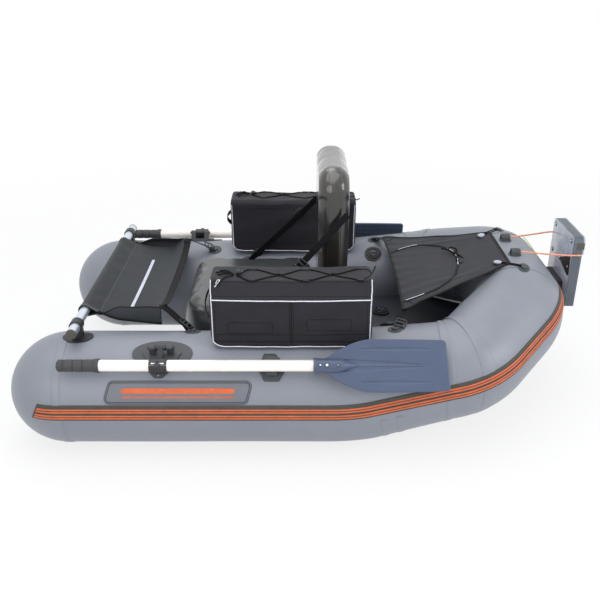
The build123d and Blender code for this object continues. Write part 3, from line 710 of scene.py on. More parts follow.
# Deck: a taut fabric floor, glued to the tubes along its edge
deck = {"sag": 0.004, "thickness": 0.0012, "rows": 130, "columns": 60, "pucker": 0.0011,
    "puckerLength": 0.041, "wave": 0.0012}
deckLow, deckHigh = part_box("deck")
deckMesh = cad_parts["deck"].data
deckCo = np.empty(len(deckMesh.vertices) * 3)
deckMesh.vertices.foreach_get("co", deckCo)
deckCo = deckCo.reshape(-1, 3)
deckCo = deckCo[deckCo[:, 2] > deckHigh.z - 0.001]
deckX = np.linspace(deckLow.x + 0.001, deckHigh.x - 0.001, deck["rows"])
edgeX = np.unique(np.round(deckCo[:, 0], 4))
edgeY = np.array([np.abs(deckCo[np.abs(deckCo[:, 0] - x) < 2e-4, 1]).max() for x in edgeX])
halfWidth = np.interp(deckX, edgeX, edgeY) - deck["thickness"] / 2


def deckHeight(x, v):
    # level, less sag * (1 - v ^ 2), with small puckers that die away from the glued edges
    pucker = deck["pucker"] * np.sin(x * 2 * pi / deck["puckerLength"] + 2 * np.sign(v)) * np.abs(v) ** 6
    wave = deck["wave"] * np.sin(x * 17 + 3 * v) * np.cos(v * 4 + x * 6)
    return deckHigh.z - deck["thickness"] - deck["sag"] * (1 - v ** 2) + (pucker + wave) * (1
        - np.abs(v) ** 12)


v = np.linspace(-1, 1, deck["columns"])[None, :]
rows = spread(deckX[:, None], v * halfWidth[:, None], deckHeight(deckX[:, None], v))
deckSheet = addPiece("deck_sheet", gridShape(rows), "deckPvc", replaces=["deck"], closed=False)
thicken(deckSheet, deck["thickness"], -1)


# Bags: a padded shell carried along its length, sagging between its ends, with bound and piped seams
bag = {"endRound": 0.014, "footRound": 0.046, "bulge": 0.006, "sag": 0.005, "lidRun": 0.035,
    "lidDrop": 0.052, "piping": 0.0018, "hem": 0.405, "foot": 0.381, "sternProud": 0.001, "bowProud": 0.006,
    "footDrop": 0.005, "middle": (-0.4, 0.46), "axisY": -0.3975, "ringStep": 0.006, "rowStep": 0.0065}
bagLow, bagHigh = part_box("starboard_bag")
bagLow.x -= bag["sternProud"]
bagHigh.x += bag["bowProud"]
bagLow.z -= bag["footDrop"]
bagLength = bagHigh.x - bagLow.x


def tubeCrest(x, y):
    # the height of the tube's skin above a point, from its axis height, radius and distance aside
    s = np.interp(x, routeRows[:, 0], routeLength)
    centre, side, up = hullFrame(s)
    radius = hullRadius(s)
    aside = np.clip(np.abs(y - centre[..., 1]), 0, radius * 0.98)
    return centre[..., 2] + np.sqrt(radius ** 2 - aside ** 2)


def bagPoint(x, corner):
    # a point of the cross-section at x, shrunk by a quarter round towards each end
    near = np.minimum(x - bagLow.x, bagHigh.x - x)
    shrink = bag["endRound"] * (1 - np.sqrt(share(1 - (1 - share(near / bag["endRound"])) ** 2)))
    y = corner[..., 0] + (bag["middle"][0] - corner[..., 0]) / 0.08 * shrink * 0.7
    z = corner[..., 1] + (bag["middle"][1] - corner[..., 1]) / 0.1 * shrink * 0.7
    foot = bag["footRound"]
    lift = foot - np.sqrt(np.clip(foot ** 2 - np.clip(foot - near, 0, foot) ** 2, 0, None))
    part = share((bagHigh.z - z) / (bagHigh.z - bagLow.z))
    z = z + lift * part ** 2.4 * 0.9
    along = share((x - bagLow.x) / bagLength)
    belly = np.sin(pi * along) ** 0.7
    upright = share((z - bagLow.z) / (bagHigh.z - bagLow.z))
    face = share((np.abs(y - bag["axisY"]) - 0.04) / 0.037)
    swell = bag["bulge"] * belly * np.sin(pi * share(upright * 1.1)) * 0.9
    y = y + np.sign(y - bag["axisY"]) * face * swell
    ripple = np.sin(x * 61 + z * 40) * 0.0009 + np.sin(x * 23 - z * 71 + 1.3) * 0.0012
    y = y + face * ripple * belly
    z = z - bag["sag"] * belly * upright ** 4 + 0.0012 * np.sin(x * 37 + y * 30) * upright ** 6
    rest = tubeCrest(x, y) + 0.0008
    return np.stack([x + 0 * y, y, np.maximum(z, np.where(upright < 0.3, rest, z))], -1)


bagCorners = roundedPolygon([(bagLow.y, bagLow.z), (bagHigh.y, bagLow.z), (bagHigh.y, bagHigh.z - 0.012),
    (bagHigh.y - 0.014, bagHigh.z), (bagLow.y + bag["lidRun"], bagHigh.z),
    (bagLow.y, bagHigh.z - bag["lidDrop"])], 0.006, 4)


def resampled(outline, spacing):
    ends = np.roll(outline, -1, 0)
    length = np.linalg.norm(ends - outline, axis=1)
    total = np.concatenate([[0], np.cumsum(length)])
    at = np.linspace(0, total[-1], int(total[-1] / spacing), endpoint=False)
    closedLine = np.concatenate([outline, outline[:1]])
    return np.stack([np.interp(at, total, closedLine[:, i]) for i in range(outline.shape[1])], -1)


bagRing = resampled(bagCorners, bag["ringStep"])
roundX = bag["endRound"] * (1 - np.cos(quarter(7)))
level = np.arange(bagLow.x + bag["endRound"] + 0.006, bagHigh.x - bag["endRound"] - 0.003, bag["rowStep"])
bagX = np.concatenate([bagLow.x + roundX, level, bagHigh.x - roundX[::-1]])
body = bagPoint(bagX[:, None], bagRing[None])
caps = []
for ring, out in ((body[0], -1), (body[-1], 1)):
    middle = ring.mean(0)
    k = np.array([0.93, 0.8, 0.6, 0.4, 0.2, 0.0])[:, None, None]
    disc = middle + (ring - middle) * k
    disc[..., 0] += out * 0.0035 * (1 - k[..., 0] ** 2) * np.ones(len(ring))
    caps.append(disc)
bagGrid = np.concatenate([caps[0][::-1], body, caps[1]])
bagShape = gridShape(bagGrid, closedColumns=True)
bagShells = {}
for side, shape in (("starboard", bagShape), ("port", mirrored(bagShape))):
    bagShells[side] = addPiece(side + "_bag_shell", shape, "oxfordBlack", sharp=70,
        replaces=[side + "_bag"])


def bagTrim(points, count, radius, flat=1.0, closedPath=False):
    path = resampled(np.array(points, float), 0.008) if closedPath else smoothPath(points, count)
    return skinLine(bagShells["starboard"], path, radius, 0.0, flat, closedPath)


# Piping: round both long faces' ends and feet, up the lid, and along the lid's front edge
footX, middleX, headX = bagLow.x + 0.002, (bagLow.x + bagHigh.x) / 2, bagHigh.x - 0.002
frontY, rearY, lidY = bagLow.y, bagHigh.y, bagLow.y + bag["lidRun"]
frontOut, rearOut, lidZ = frontY - 0.01, rearY + 0.01, bagHigh.z - bag["lidDrop"]
pipes = []
for x, out in ((footX, 1), (headX, -1)):
    overLid = [(x, frontY - 0.005, lidZ), (x, (frontY + lidY) / 2, lidZ + 0.026), (x, lidY, bagHigh.z)]
    behind = [(x, rearY + 0.004, bagHigh.z - 0.02)]
    for y, low, after, count in ((frontOut, 0.004, overLid, 60), (rearOut, 0.006, behind, 50)):
        rising = [(out * 0.034, low), (out * 0.012, 0.01), (0, 0.036), (0, 0.45 - bagLow.z)]
        rising = [(x + dx, y, bagLow.z + dz) for dx, dz in rising]
        pipes.append(bagTrim(rising + after, count, bag["piping"]))
pipes.append(bagTrim([(footX, frontY - 0.004, lidZ), (middleX, frontOut, lidZ - 0.001),
    (headX, frontY - 0.004, lidZ)], 60, bag["piping"]))
for y in (frontOut, rearOut):
    pipes.append(bagTrim([(footX + 0.034, y, bagLow.z + 0.004), (-0.05, y, bagLow.z + 0.003),
        (headX - 0.034, y, bagLow.z + 0.004)], 60, bag["piping"]))
addPiece("bag_piping", bothSides(*pipes), "reflectivePiping")


# Seams and stitched pockets on the outer face, and the lid's zip line: low raised lines, near-black as
# painted seam shade
bag.update(stitchY=frontY - 0.012, pockets=((-0.2405, -0.1037, 0.4095, 0.4465),
    (-0.0007, 0.1355, 0.4195, 0.4565)))
seamShadeLines, y = [], bag["stitchY"]


def bagLine(x0, x1, y, z, count, radius, dip=0.0):
    # a stitched line along the bag, a little lower at its middle
    return bagTrim([(x0, y, z), ((x0 + x1) / 2, y, z - dip), (x1, y, z)], count, radius, flat=0.5)


seamShadeLines.append(bagTrim([(middleX, y, lidZ - 0.004), (middleX, y, 0.44), (middleX, y, bag["foot"] - 0.012)],
    40, 0.0019, flat=0.8))
for x in (footX + 0.014, headX - 0.014, middleX - 0.006, middleX + 0.006):
    seamShadeLines.append(bagTrim([(x, y, lidZ - 0.006), (x, y, 0.44), (x, y, bag["foot"])], 40, 0.0009,
        flat=0.5))
for x0, x1, z0, z1 in bag["pockets"]:
    seamShadeLines.append(bagTrim([(x0, y, z0), (x0, y, z1), (x1, y, z1), (x1, y, z0)], 0, 0.0011, flat=0.7,
        closedPath=True))
for z, size in ((bag["hem"], 0.0013), (bag["foot"], 0.0016)):
    seamShadeLines += [bagLine(x0, x1, y, z, 40, size, 0.002) for x0, x1 in ((footX + 0.01, middleX - 0.003),
        (middleX + 0.003, headX - 0.01))]
for lineY, z in ((frontY + 0.001, lidZ + 0.012), (frontY + 0.026, lidZ + 0.049),
        (rearOut, bagHigh.z - 0.034), (rearOut, 0.395)):
    seamShadeLines.append(bagLine(footX + 0.01, headX - 0.01, lineY, z, 50, 0.0012))
addPiece("bag_seam_shade_lines", bothSides(*seamShadeLines), "darkTapeAndSeamShade")


# Bungee lacing over the lid: two strands that cross, hooked through small tabs at its edges
lacing = {"radius": 0.0021, "run": 0.082, "tabX": (-0.166, -0.002, 0.161), "crossX": (-0.0845, 0.079)}
strandX = np.sort([-0.215, *lacing["tabX"], *lacing["crossX"]])
strands = []
crossed = np.array([0.5, 0, 0.5, 1, 0.5, 0])
for phase, part in enumerate((crossed, 1 - crossed)):
    route = smoothPath(spread(strandX, lidY - 0.004 + part * lacing["run"], bagHigh.z + 0.01), 90)
    route = snapped(route, bagShells["starboard"], lacing["radius"] * 0.9 + 0.0004 * phase)
    crossing = sum(np.exp(-((route[:, 0] - x) / 0.008) ** 2) for x in lacing["crossX"])
    route[:, 2] += crossing * lacing["radius"] * 2 * phase
    strands.append(roundRod(route, lacing["radius"], 110))
tail = [(0.161, lidY + 0.078, bagHigh.z - 0.002), (0.19, lidY + 0.07, bagHigh.z + 0.0),
    (0.1965, lidY + 0.045, bagHigh.z - 0.004), (0.188, lidY + 0.02, bagHigh.z - 0.001),
    (0.161, lidY - 0.004, bagHigh.z - 0.004)]
strands.append(roundRod(tail, lacing["radius"], 40))
strands.append(roundRod([(0.1955, lidY + 0.056, bagHigh.z - 0.004),
    (0.204, lidY + 0.075, bagHigh.z - 0.012), (0.2155, lidY + 0.098, bagHigh.z + 0.001)], lacing["radius"],
    24))
knot = np.array([-0.222, lidY + 0.037, bagHigh.z])
loose = [[(0, 0, 0.001), (dx * 0.5, dy * 0.7, 0.006), (dx, dy + 0.01, -0.001)]
    for dy, dx in ((-0.012, -0.052), (0.006, -0.058), (0.02, -0.046))]
loose.append([(0, -0.005, 0), (-0.026, -0.029, 0.001), (-0.046, -0.051, -0.012)])
strands += [roundRod(knot + np.array(run), lacing["radius"], 24) for run in loose]
addPiece("bag_lacing", bothSides(*strands), "bungeeCord")

tab = slab(roundedPolygon(rectangle(-0.010, -0.007, 0.010, 0.007), 0.002, 3), 0.0016, 0.0005)
tabSpots = snapped([(x, y, bagHigh.z + 0.01) for y in (lidY - 0.003, lidY + 0.079) for x in lacing["tabX"]],
    bagShells["starboard"], 0.0022)
tabs = [moved(tab, spot) for spot in tabSpots]
addPiece("bag_lacing_tabs", bothSides(*tabs), "oxfordBlack")

lockBody = turned([(0, 0), (0, 0.0062), (0.003, 0.0078), (0.011, 0.0078), (0.015, 0.006), (0.016, 0)], 20)
lockButton = turned([(0.0155, 0), (0.0155, 0.0045), (0.021, 0.0045), (0.0225, 0.003), (0.0225, 0)], 16)
lock = placed(joined(lockBody, lockButton), knot + (0.006, 0.003, 0.0065), (0, 1, 0), (0, 0, 1), (1, 0, 0))
hook = roundRod([(-0.276, lidY - 0.022, lidZ + 0.036), (-0.268, lidY - 0.015, lidZ + 0.045),
    (-0.262, lidY - 0.006, bagHigh.z - 0.002), (-0.268, lidY - 0.002, bagHigh.z - 0.002),
    (-0.274, lidY - 0.012, bagHigh.z - 0.010)], 0.0018, 30)
addPiece("bag_cord_locks", bothSides(lock), "nylonDark")
addPiece("bag_hooks", bothSides(hook), "steel")


# Carrying handle: a webbing loop on each bag's stern end
handlePath = smoothPath([(bagLow.x - 0.001, -0.36, 0.515), (bagLow.x - 0.014, -0.372, 0.50),
    (bagLow.x - 0.021, -0.3975, 0.475), (bagLow.x - 0.014, -0.423, 0.45), (bagLow.x - 0.001, -0.435, 0.44)],
    40)
strapProfile = ellipseProfile(0.0095, 0.0011, 12, 0.4)
addPiece("bag_handles", bothSides(carry(handlePath, strapProfile, (-1, 0, 0))), "webbing")
print("bags built")


# Fittings shared by several pieces: webbing, ladder buckles and glued pads
fittings = {"web": 0.0022, "pad": 0.0018, "padRadius": 0.026, "foot": 0.0035, "button": 0.012,
    "buttonBase": 0.0015}
routeAll = np.concatenate([routeRows[:, :3], routeRows[:, :3] * (1, -1, 1)])
radiusAll = np.tile(hullRadius(routeLength), 2)


def clearOfHull(points, margin):
    # each point that is nearer the tube's axis than radius + margin moves straight out to it
    flat = points.reshape(-1, 3)
    gaps = np.linalg.norm(flat[:, None] - routeAll[None], axis=2) - radiusAll[None]
    nearest = gaps.argmin(1)
    depth = np.maximum(0, margin - gaps.min(1))[:, None]
    return (flat + unit(flat - routeAll[nearest]) * depth).reshape(points.shape)


def hullPad(s, angle, outline, thickness, base=0.0):
    # a pad glued on the tube: outline points as distance along and height round the skin, scaled by k
    k = np.array([0.0, 0.3, 0.55, 0.8, 0.96, 0.985, 1.0, 1.0])[:, None]
    lift = base + thickness * np.array([1, 1, 1, 1, 1, 0.8, 0.35, -0.15])[:, None]
    u, v = outline[:, 0], outline[:, 1]
    radius = float(hullRadius(np.array(s)))
    return gridShape(onHull(s + k * u, angle + k * v / radius, lift + 0 * k * u), closedColumns=True)


def hullSpot(place):
    # the distance along and the angle round the starboard tube of the skin nearest a place
    i = np.linalg.norm(routeRows[:, :3] - place, axis=1).argmin()
    centre, side, up = hullFrame(routeLength[i])
    aside = np.array(place) - centre
    return float(routeLength[i]), math.atan2(aside @ up, aside @ side)


def hullDiscAt(x, angleDegrees, radius, thickness, base=0.0):
    s = float(np.interp(x, routeRows[:, 0], routeLength))
    return hullPad(s, math.radians(angleDegrees), regularOutline(40, radius), thickness, base)


def hullRing(s, angle, outline, size, base, k=0.9):
    # a stitched or welded line that follows a pad's outline at the share k of its size
    radius = float(hullRadius(np.array(s)))
    path = onHull(s + k * outline[:, 0], angle + k * outline[:, 1] / radius, base)
    centre = hullFrame(np.full(len(path), s))[0]
    return carry(path, ellipseProfile(size, size * 0.6, 6), unit(path - centre), closedPath=True)


def ladderBuckle(place, along, out, length, width, rod=0.0026):
    # a moulded frame with two cross bars, lying in the plane square to out
    across = unit(np.cross(out, along))
    frameLine = roundedPolygon(rectangle(-length / 2, -width / 2, length / 2, width / 2), 0.006, 5)
    frameLine = spread(*frameLine.T, 0.0)
    shapes = [carry(frameLine, ellipseProfile(rod, rod, 8), upward, closedPath=True)]
    for x, z in ((-length * 0.17, 0.002), (length * 0.2, 0.0035)):
        bar = np.array([(x, -width / 2, 0), (x, -width * 0.3, z), (x, 0, z * 1.2), (x, width * 0.3, z),
            (x, width / 2, 0)])
        shapes.append(carry(smoothPath(bar, 14), ellipseProfile(rod * 1.25, rod * 0.8, 8), upward))
    return placed(joined(*shapes), place, unit(np.array(along, float)), across, unit(np.array(out, float)))


def strap(points, width, facing, count=40, clear=None):
    path = smoothPath(points, count)
    if clear is not None:
        path = clearOfHull(path, clear)
    profile = ellipseProfile(width / 2, fittings["web"] / 2, 14, 0.35)
    return carry(path, profile, facing)


# Backrest straps: from loops on the backrest's sides to pads on the pontoons, each with a slide buckle
backStrap = {"width": 0.022, "topX": 0.122, "topY": -0.2225, "topZ": 0.69, "footX": -0.226,
    "footAngle": 128}
foot = onHull(backStrap["footX"] - hull["tip"][0], math.radians(backStrap["footAngle"]), 0.004)
top = np.array([backStrap["topX"], backStrap["topY"], backStrap["topZ"]])
strapLine = [top + (foot - top) * part - (0, 0, hang) for part, hang in ((0, 0), (0.25, 0.001),
    (0.5, 0.002), (0.75, 0.001))]
strapLine = [top + (0.008, 0.001, 0.008), *strapLine, foot]
way = unit(foot - top)
outward = unit(np.cross(np.cross(way, (0, -1, 0.3)), way))
webShapes = [strap(strapLine, backStrap["width"], (0, -1, 0.15))]
doubled = [top + way * run + outward * off for run, off in ((0.03, 0.0026), (0.09, 0.0028),
    (0.145, 0.0026))]
webShapes.append(strap(doubled, backStrap["width"], (0, -1, 0.15), 14))
tongue = [foot - way * run + outward * off for run, off in ((0.045, 0.0026), (0.02, 0.0024), (0, 0.002))]
webShapes.append(strap(tongue, backStrap["width"], (0, -1, 0.15), 10))
addPiece("backrest_webbing", bothSides(*webShapes), "webbing", replaces=["backrest_straps"], sharp=50)
buckles = [ladderBuckle(top + way * 0.21 + outward * 0.0035, way, outward, 0.042, 0.033),
    ladderBuckle(foot - way * 0.055 + outward * 0.003, way, outward, 0.026, 0.031)]
addPiece("backrest_buckles", bothSides(*buckles), "nylonDark")
footPad = hullDiscAt(backStrap["footX"] - 0.006, backStrap["footAngle"], fittings["padRadius"],
    fittings["pad"])
addPiece("backrest_strap_pads", bothSides(footPad), "padPvc", closed=False)


# Lap apron: one cloth wrapped round the crossbar and stitched, with a sagging panel and raised side walls
apron = {"barX": -0.7225, "barZ": 0.402, "sleeve": 0.0190, "stitch": 0.047, "rearX": -0.4725, "drop": 0.030,
    "half": 0.31, "sag": 0.007, "wall": 0.046, "hem": 0.027, "hemLift": 0.014, "lean": 0.014,
    "pad": (-0.3675, 107), "thickness": 0.0012, "hemHalf": 0.304, "strap": 0.026, "wallFrom": 0.043,
    "wallRise": 0.075, "wallFoot": 0.011, "wallBow": 0.004, "seams": (-0.17, -0.02, 0.13)}


def hemRise(y):
    # the taut rear hem stands over the panel, and climbs to the walls' tops as share ^ 4
    u = share(np.abs(y) / apron["half"])
    return apron["hemLift"] + (apron["wall"] - apron["hemLift"]) * u ** 4


def apronHeight(x, y):
    # straight fall from the bar to the rear edge, less sag * sin across * sin along, with soft folds;
    # drawn up to the hem over the last third
    v = share((x - apron["barX"] - apron["stitch"]) / (apron["rearX"] - apron["barX"] - apron["stitch"]))
    u = np.clip(y / apron["half"], -1, 1)
    fall = apron["barZ"] - apron["drop"] * (x - apron["barX"]) / (apron["rearX"] - apron["barX"])
    sag = apron["sag"] * np.sin(pi * v) * np.cos(u * pi / 2) ** 0.6
    folds = 0.0016 * np.sin(y * 46 + 4 * v) * np.exp(-v * 5) * np.abs(u) ** 0.5
    edge = np.exp(-((1 - np.abs(u)) * 5) ** 2)
    drag = 0.0022 * np.sin((np.abs(y) - apron["half"]) * 60 - v * 7) * edge * np.sin(pi * v)
    drawn = share((v - 0.66) / 0.34)
    return fall - sag + folds + drag + hemRise(y) * eased(drawn)


stitchX = apron["barX"] + apron["stitch"]
turn = np.radians(np.linspace(-58, -288, 34))
panelX = np.linspace(stitchX, apron["rearX"] + 0.002, 44)
yGrid = np.linspace(-apron["half"], apron["half"], 110)[None, :]
under = np.linspace(0, 1, 5)[:-1]
flare = 1 + 0.05 * np.exp(-((apron["half"] - np.abs(yGrid)) / 0.02) ** 2)
crease = 1 + 0.022 * np.sin(yGrid * 75 + 3 * turn[:, None]) * np.sin(turn[:, None] * 1.5) ** 2
sleeveRadius = apron["sleeve"] * flare * crease
ring = spread(apron["barX"] + np.cos(turn)[:, None] * sleeveRadius, yGrid, apron["barZ"]
    + np.sin(turn)[:, None] * sleeveRadius)
stitchLine = spread(stitchX, yGrid, apronHeight(stitchX, yGrid) - 0.0022)
lower = stitchLine + (ring[:1] - stitchLine) * under[:, None, None]
upperRun = np.linspace(0, 1, 8)[1:-1, None, None]
stitchTop = stitchLine + (0, 0, 0.0022)
upper = ring[-1:] + (stitchTop - ring[-1:]) * upperRun
upper[..., 2] += 0.001 * np.sin(upper[..., 1] * 70) * np.sin(pi * upperRun[..., 0])
panel = spread(panelX[:, None], yGrid, apronHeight(panelX[:, None], yGrid))
apronCloth = addPiece("apron_cloth", gridShape(np.concatenate([lower, ring, upper, panel])), "apronCloth",
    closed=False, sharp=80, replaces=["apron"])
thicken(apronCloth, apron["thickness"])

wallX = np.linspace(apron["barX"] + apron["wallFrom"], apron["rearX"] + 0.001, 40)
rise = eased(share((wallX - wallX[0]) / apron["wallRise"]))
edgeZ = apron["barZ"] - apron["drop"] * (wallX - apron["barX"]) / (apron["rearX"] - apron["barX"])
topZ = edgeZ + rise * (apron["barZ"] - apron["drop"] + apron["wall"] - edgeZ)
lowZ = edgeZ - apron["wallFoot"] * np.sqrt(rise)
k = np.linspace(0, 1, 12)[None, :]
wallZ = lowZ[:, None] + (topZ - lowZ)[:, None] * k
bow = -apron["wallBow"] * np.sin(pi * k) * rise[:, None] + 0.0015 * np.sin(wallX[:, None] * 70) * k
lean = -apron["lean"] * (1 - k) * rise[:, None]
wall = spread(wallX[:, None], -apron["half"] + bow + lean - 0.0008, wallZ)
apronWalls = addPiece("apron_walls", bothSides(gridShape(wall)), "apronCloth", closed=False)
thicken(apronWalls, apron["thickness"])

bindings = []
tape = ellipseProfile(0.0021, 0.0046, 12, 0.6)
for path, shift in ((wall[:, -1], -0.0035), (wall[:, 0], 0.0035)):
    bindings.append(carry(path + (0, 0, shift), tape, upward))
addPiece("apron_bindings", bothSides(*bindings), "darkTapeAndSeamShade")
sleeveEnd = np.concatenate([lower, ring, upper])[:, 2:3].mean(1)
sleeveFacing = unit(sleeveEnd * (1, 0, 1) - (apron["barX"], 0, apron["barZ"]))
sleeveEnd[:, 1] = -apron["half"] + 0.007
bandPath = sleeveEnd + sleeveFacing * 0.0014
sleeveBand = carry(bandPath, ellipseProfile(0.0075, 0.0009, 12, 0.4), sleeveFacing)
seamY = np.linspace(-0.306, 0.306, 60)
seamLine = spread(stitchX + 0.002, seamY, apronHeight(stitchX + 0.002, seamY) + 0.0011)
seamsHere = [carry(seamLine, ellipseProfile(0.0016, 0.0008, 8), upward)]
for y in apron["seams"]:
    x = np.linspace(stitchX + 0.004, apron["rearX"] - 0.004, 40)
    line = spread(x, y + 0.002 * np.sin(x * 40), apronHeight(x, y) + 0.0008)
    seamsHere.append(carry(line, ellipseProfile(0.0011, 0.0007, 8), upward))
addPiece("apron_seams", joined(*seamsHere), "sleeveTape")
addPiece("apron_sleeve_ends", bothSides(sleeveBand), "sleeveTape")


# Rear hem: one wide webbing across the panel's rear edge, carried on at both ends down to the pontoons
hemY = np.linspace(-apron["hemHalf"], apron["hemHalf"], 80)
hemLine = spread(apron["rearX"] + 0.006, hemY, apronHeight(apron["rearX"], hemY) + 0.0035)
hemWeb = carry(hemLine, ellipseProfile(apron["hem"] / 2, 0.0012, 16, 0.35), (-0.2, 0, 1))
apronFoot = onHull(apron["pad"][0] - hull["tip"][0], math.radians(apron["pad"][1]), fittings["foot"])
corner = hemLine[0]
sideStrap = [corner + (apronFoot - corner) * part - (0, 0, hang) for part, hang in ((0, 0), (0.25, 0),
    (0.5, 0.002), (0.75, 0.001))]
sideStrap = [corner + (-0.002, 0.022, -0.006), *sideStrap, apronFoot + (-0.012, 0.004, 0.002)]
sideWeb = strap(sideStrap, apron["strap"], (-0.1, 0, 1), 40, clear=0.0025)
addPiece("apron_webbing", joined(hemWeb, bothSides(sideWeb)), "webbing", replaces=["apron_straps"],
    sharp=50)
strapWay = unit(apronFoot - corner)
addPiece("apron_buckles", bothSides(ladderBuckle(apronFoot * 0.8 + corner * 0.2 + (0, 0.002, 0.0045),
    strapWay, (0.1, 0.35, 1), 0.042, 0.034)), "nylonDark")
addPiece("apron_strap_pads", bothSides(hullDiscAt(*apron["pad"], fittings["padRadius"], fittings["pad"]),
    hullDiscAt(*apron["pad"], fittings["button"], 0.005, fittings["buttonBase"])), "padPvc", closed=False)


# Printed ruler on the panel: a white strip with short dark ticks, and a longer one at every fifth
ruler = {"x": -0.5845, "y0": -0.238, "y1": 0.175, "width": 0.0115, "tick": 0.01, "short": 0.003,
    "long": 0.0052, "line": 0.0018}
rulerY = np.linspace(ruler["y0"], ruler["y1"], 80)
strip = spread(ruler["x"], rulerY, apronHeight(ruler["x"], rulerY) + 0.0010)
addPiece("ruler_strip", carry(strip, ellipseProfile(ruler["width"] / 2, 0.0004, 10, 0.3), upward),
    "printedWhite", sharp=50)
ticks = []
for i in range(int((ruler["y1"] - ruler["y0"]) / ruler["tick"])):
    y = ruler["y0"] + (i + 0.5) * ruler["tick"]
    reach = ruler["short"] if i % 5 else ruler["long"]
    x = ruler["x"] + ruler["width"] / 2 - 0.0004 - reach / 2
    z = float(apronHeight(x, y)) + 0.0015
    mark = slab(rectangle(-reach / 2, -ruler["line"] / 2, reach / 2, ruler["line"] / 2), 0.0002, 0.00004)
    ticks.append(moved(mark, (x, y, z)))
addPiece("ruler_ticks", joined(*ticks), "blackPrintAndRecessShade", sharp=30)
print("apron built")


# Bow cover: a taut cloth with an arched zip, laid from corner straps over the bay to the bow tube
cover = {"rearX": 0.3125, "rearHalf": 0.322, "rearZ": 0.4165, "frontX": 0.6905, "frontHalf": 0.148,
    "frontZ": 0.5041, "sag": 0.008, "edgeSag": 0.004, "thickness": 0.0013, "waist": 0.03, "flare": 0.03,
    "clear": 0.0014, "pad": (0.2869, -0.3963, 0.3813), "scoop": 0.010, "fold": 0.0022, "tuck": 0.006,
    "strap": 0.022, "cornerRing": (0.327, 0.3), "ringSize": (0.019, 0.021)}


def coverHalf(v):
    # straight taper, drawn in by sin along the side and flared at the rear corners
    half = cover["rearHalf"] + (cover["frontHalf"] - cover["rearHalf"]) * v
    return half * (1 - cover["waist"] * np.sin(pi * v) + cover["flare"] * np.exp(-((v - 0.06) / 0.06) ** 2))


def coverPoint(u, v):
    # straight from the rear to the front edge, less sag * (1 - u^2) and an edge sag, with corner folds
    x = cover["rearX"] + (cover["frontX"] - cover["rearX"]) * v
    scoop = cover["scoop"] * (1 - u ** 2) * share(1 - v / 0.15)
    z = cover["rearZ"] + (cover["frontZ"] - cover["rearZ"]) * v
    hang = np.sin(pi * v) * (cover["sag"] * (1 - u ** 2) + cover["edgeSag"] * u ** 2)
    y = u * coverHalf(v)
    puckers = 0.0013 * np.sin(u * 30 + 2) * np.exp(-v * 7)
    puckers = puckers + 0.0016 * np.sin(u * 9 - v * 15) * np.sin(pi * v) * u ** 2
    folds = cover["fold"] * np.exp(-((np.abs(u) - 0.62 - 0.2 * v) / 0.07) ** 2) * np.sin(pi * v)
    drawn = sum(np.exp(-((np.abs(u) - 1 + lean * (1 - v)) / 0.035) ** 2) for lean in (0.25, 0.55))
    drawn = drawn * v ** 1.5 * (1 - v)
    return spread(x + scoop, y, z - hang + puckers + folds + cover["tuck"] * drawn)


u, v = np.meshgrid(np.linspace(-1, 1, 96), np.linspace(0, 1, 64), indexing="ij")
coverGrid = clearOfHull(coverPoint(u, v).swapaxes(0, 1), cover["clear"])
coverCloth = addPiece("cover_cloth", gridShape(coverGrid), "oxfordCover", closed=False, sharp=80,
    replaces=["bow_cover"])
thicken(coverCloth, cover["thickness"])


def onCover(points, off):
    # plan points (x, y) laid on the cover by its own two parameters, which hold only between its ends
    points = np.array(points, float)
    v = (points[:, 0] - cover["rearX"]) / (cover["frontX"] - cover["rearX"])
    u = points[:, 1] / coverHalf(v)
    return clearOfHull(coverPoint(u, v), cover["clear"]) + (0, 0, off)


coverEdge = []
for edge in (coverGrid[0], coverGrid[-1], coverGrid[:, 0], coverGrid[:, -1]):
    coverEdge.append(carry(edge + (0, 0, 0.0008), ellipseProfile(0.0046, 0.0013, 12, 0.5), (-0.2, 0, 1)))
for hand in (-1, 1):
    middle = np.array(cover["cornerRing"]) * (1, hand)
    disc = onCover(middle + regularOutline(32, *cover["ringSize"]), 0.0016)
    coverEdge.append(carry(disc, ellipseProfile(0.0011, 0.0008, 6), upward, closedPath=True))
addPiece("cover_bindings", joined(*coverEdge), "darkTapeAndSeamShade")
zipPlan = [(0.316, 0.151), (0.342, 0.163), (0.368, 0.171), (0.421, 0.176), (0.472, 0.156), (0.511, 0.122),
    (0.535, 0.069), (0.543, 0.009), (0.537, -0.056), (0.524, -0.103), (0.506, -0.151), (0.462, -0.203),
    (0.414, -0.238), (0.368, -0.258), (0.321, -0.274)]
zipPath = smoothPath(onCover(zipPlan, 0.0022), 150)
zipTape = carry(zipPath - (0, 0, 0.0009), ellipseProfile(0.0048, 0.0010, 12, 0.4), (-0.2, 0, 1))
zipCoil = carry(zipPath + (0, 0, 0.0003), ellipseProfile(0.0019, 0.0013, 8), (-0.2, 0, 1))
addPiece("cover_zip", joined(zipTape, zipCoil), "darkTapeAndSeamShade")
strips = []
for first, last in ((16, 34), (60, 74), (74, 88), (133, 149)):
    strips.append(carry(zipPath[first:last] + (0, 0, 0.0019), ellipseProfile(0.0015, 0.0006, 8),
        (-0.2, 0, 1)))
addPiece("cover_zip_strips", joined(*strips), "reflectivePiping")
pull = onCover([(0.540, 0.03)], 0.006)[0]
pullRuns = (([(-0.018, 0.022, 0.004), (-0.04, 0.045, 0.001)], 0.0028, 24),
    ([(0.014, 0.03, 0.003), (-0.006, 0.048, 0.004), (-0.018, 0.03, 0.002)], 0.0026, 30),
    ([(0.012, -0.02, 0.001), (0.024, -0.055, -0.002), (0.010, -0.088, -0.004), (-0.002, -0.06, -0.003),
    (0.004, -0.026, 0.0)], 0.0030, 50))
pulls = [roundRod([pull, *(pull + np.array(run))], *size, sides=10) for run, *size in pullRuns]
addPiece("cover_zip_pulls", joined(*pulls), "bungeeCord")

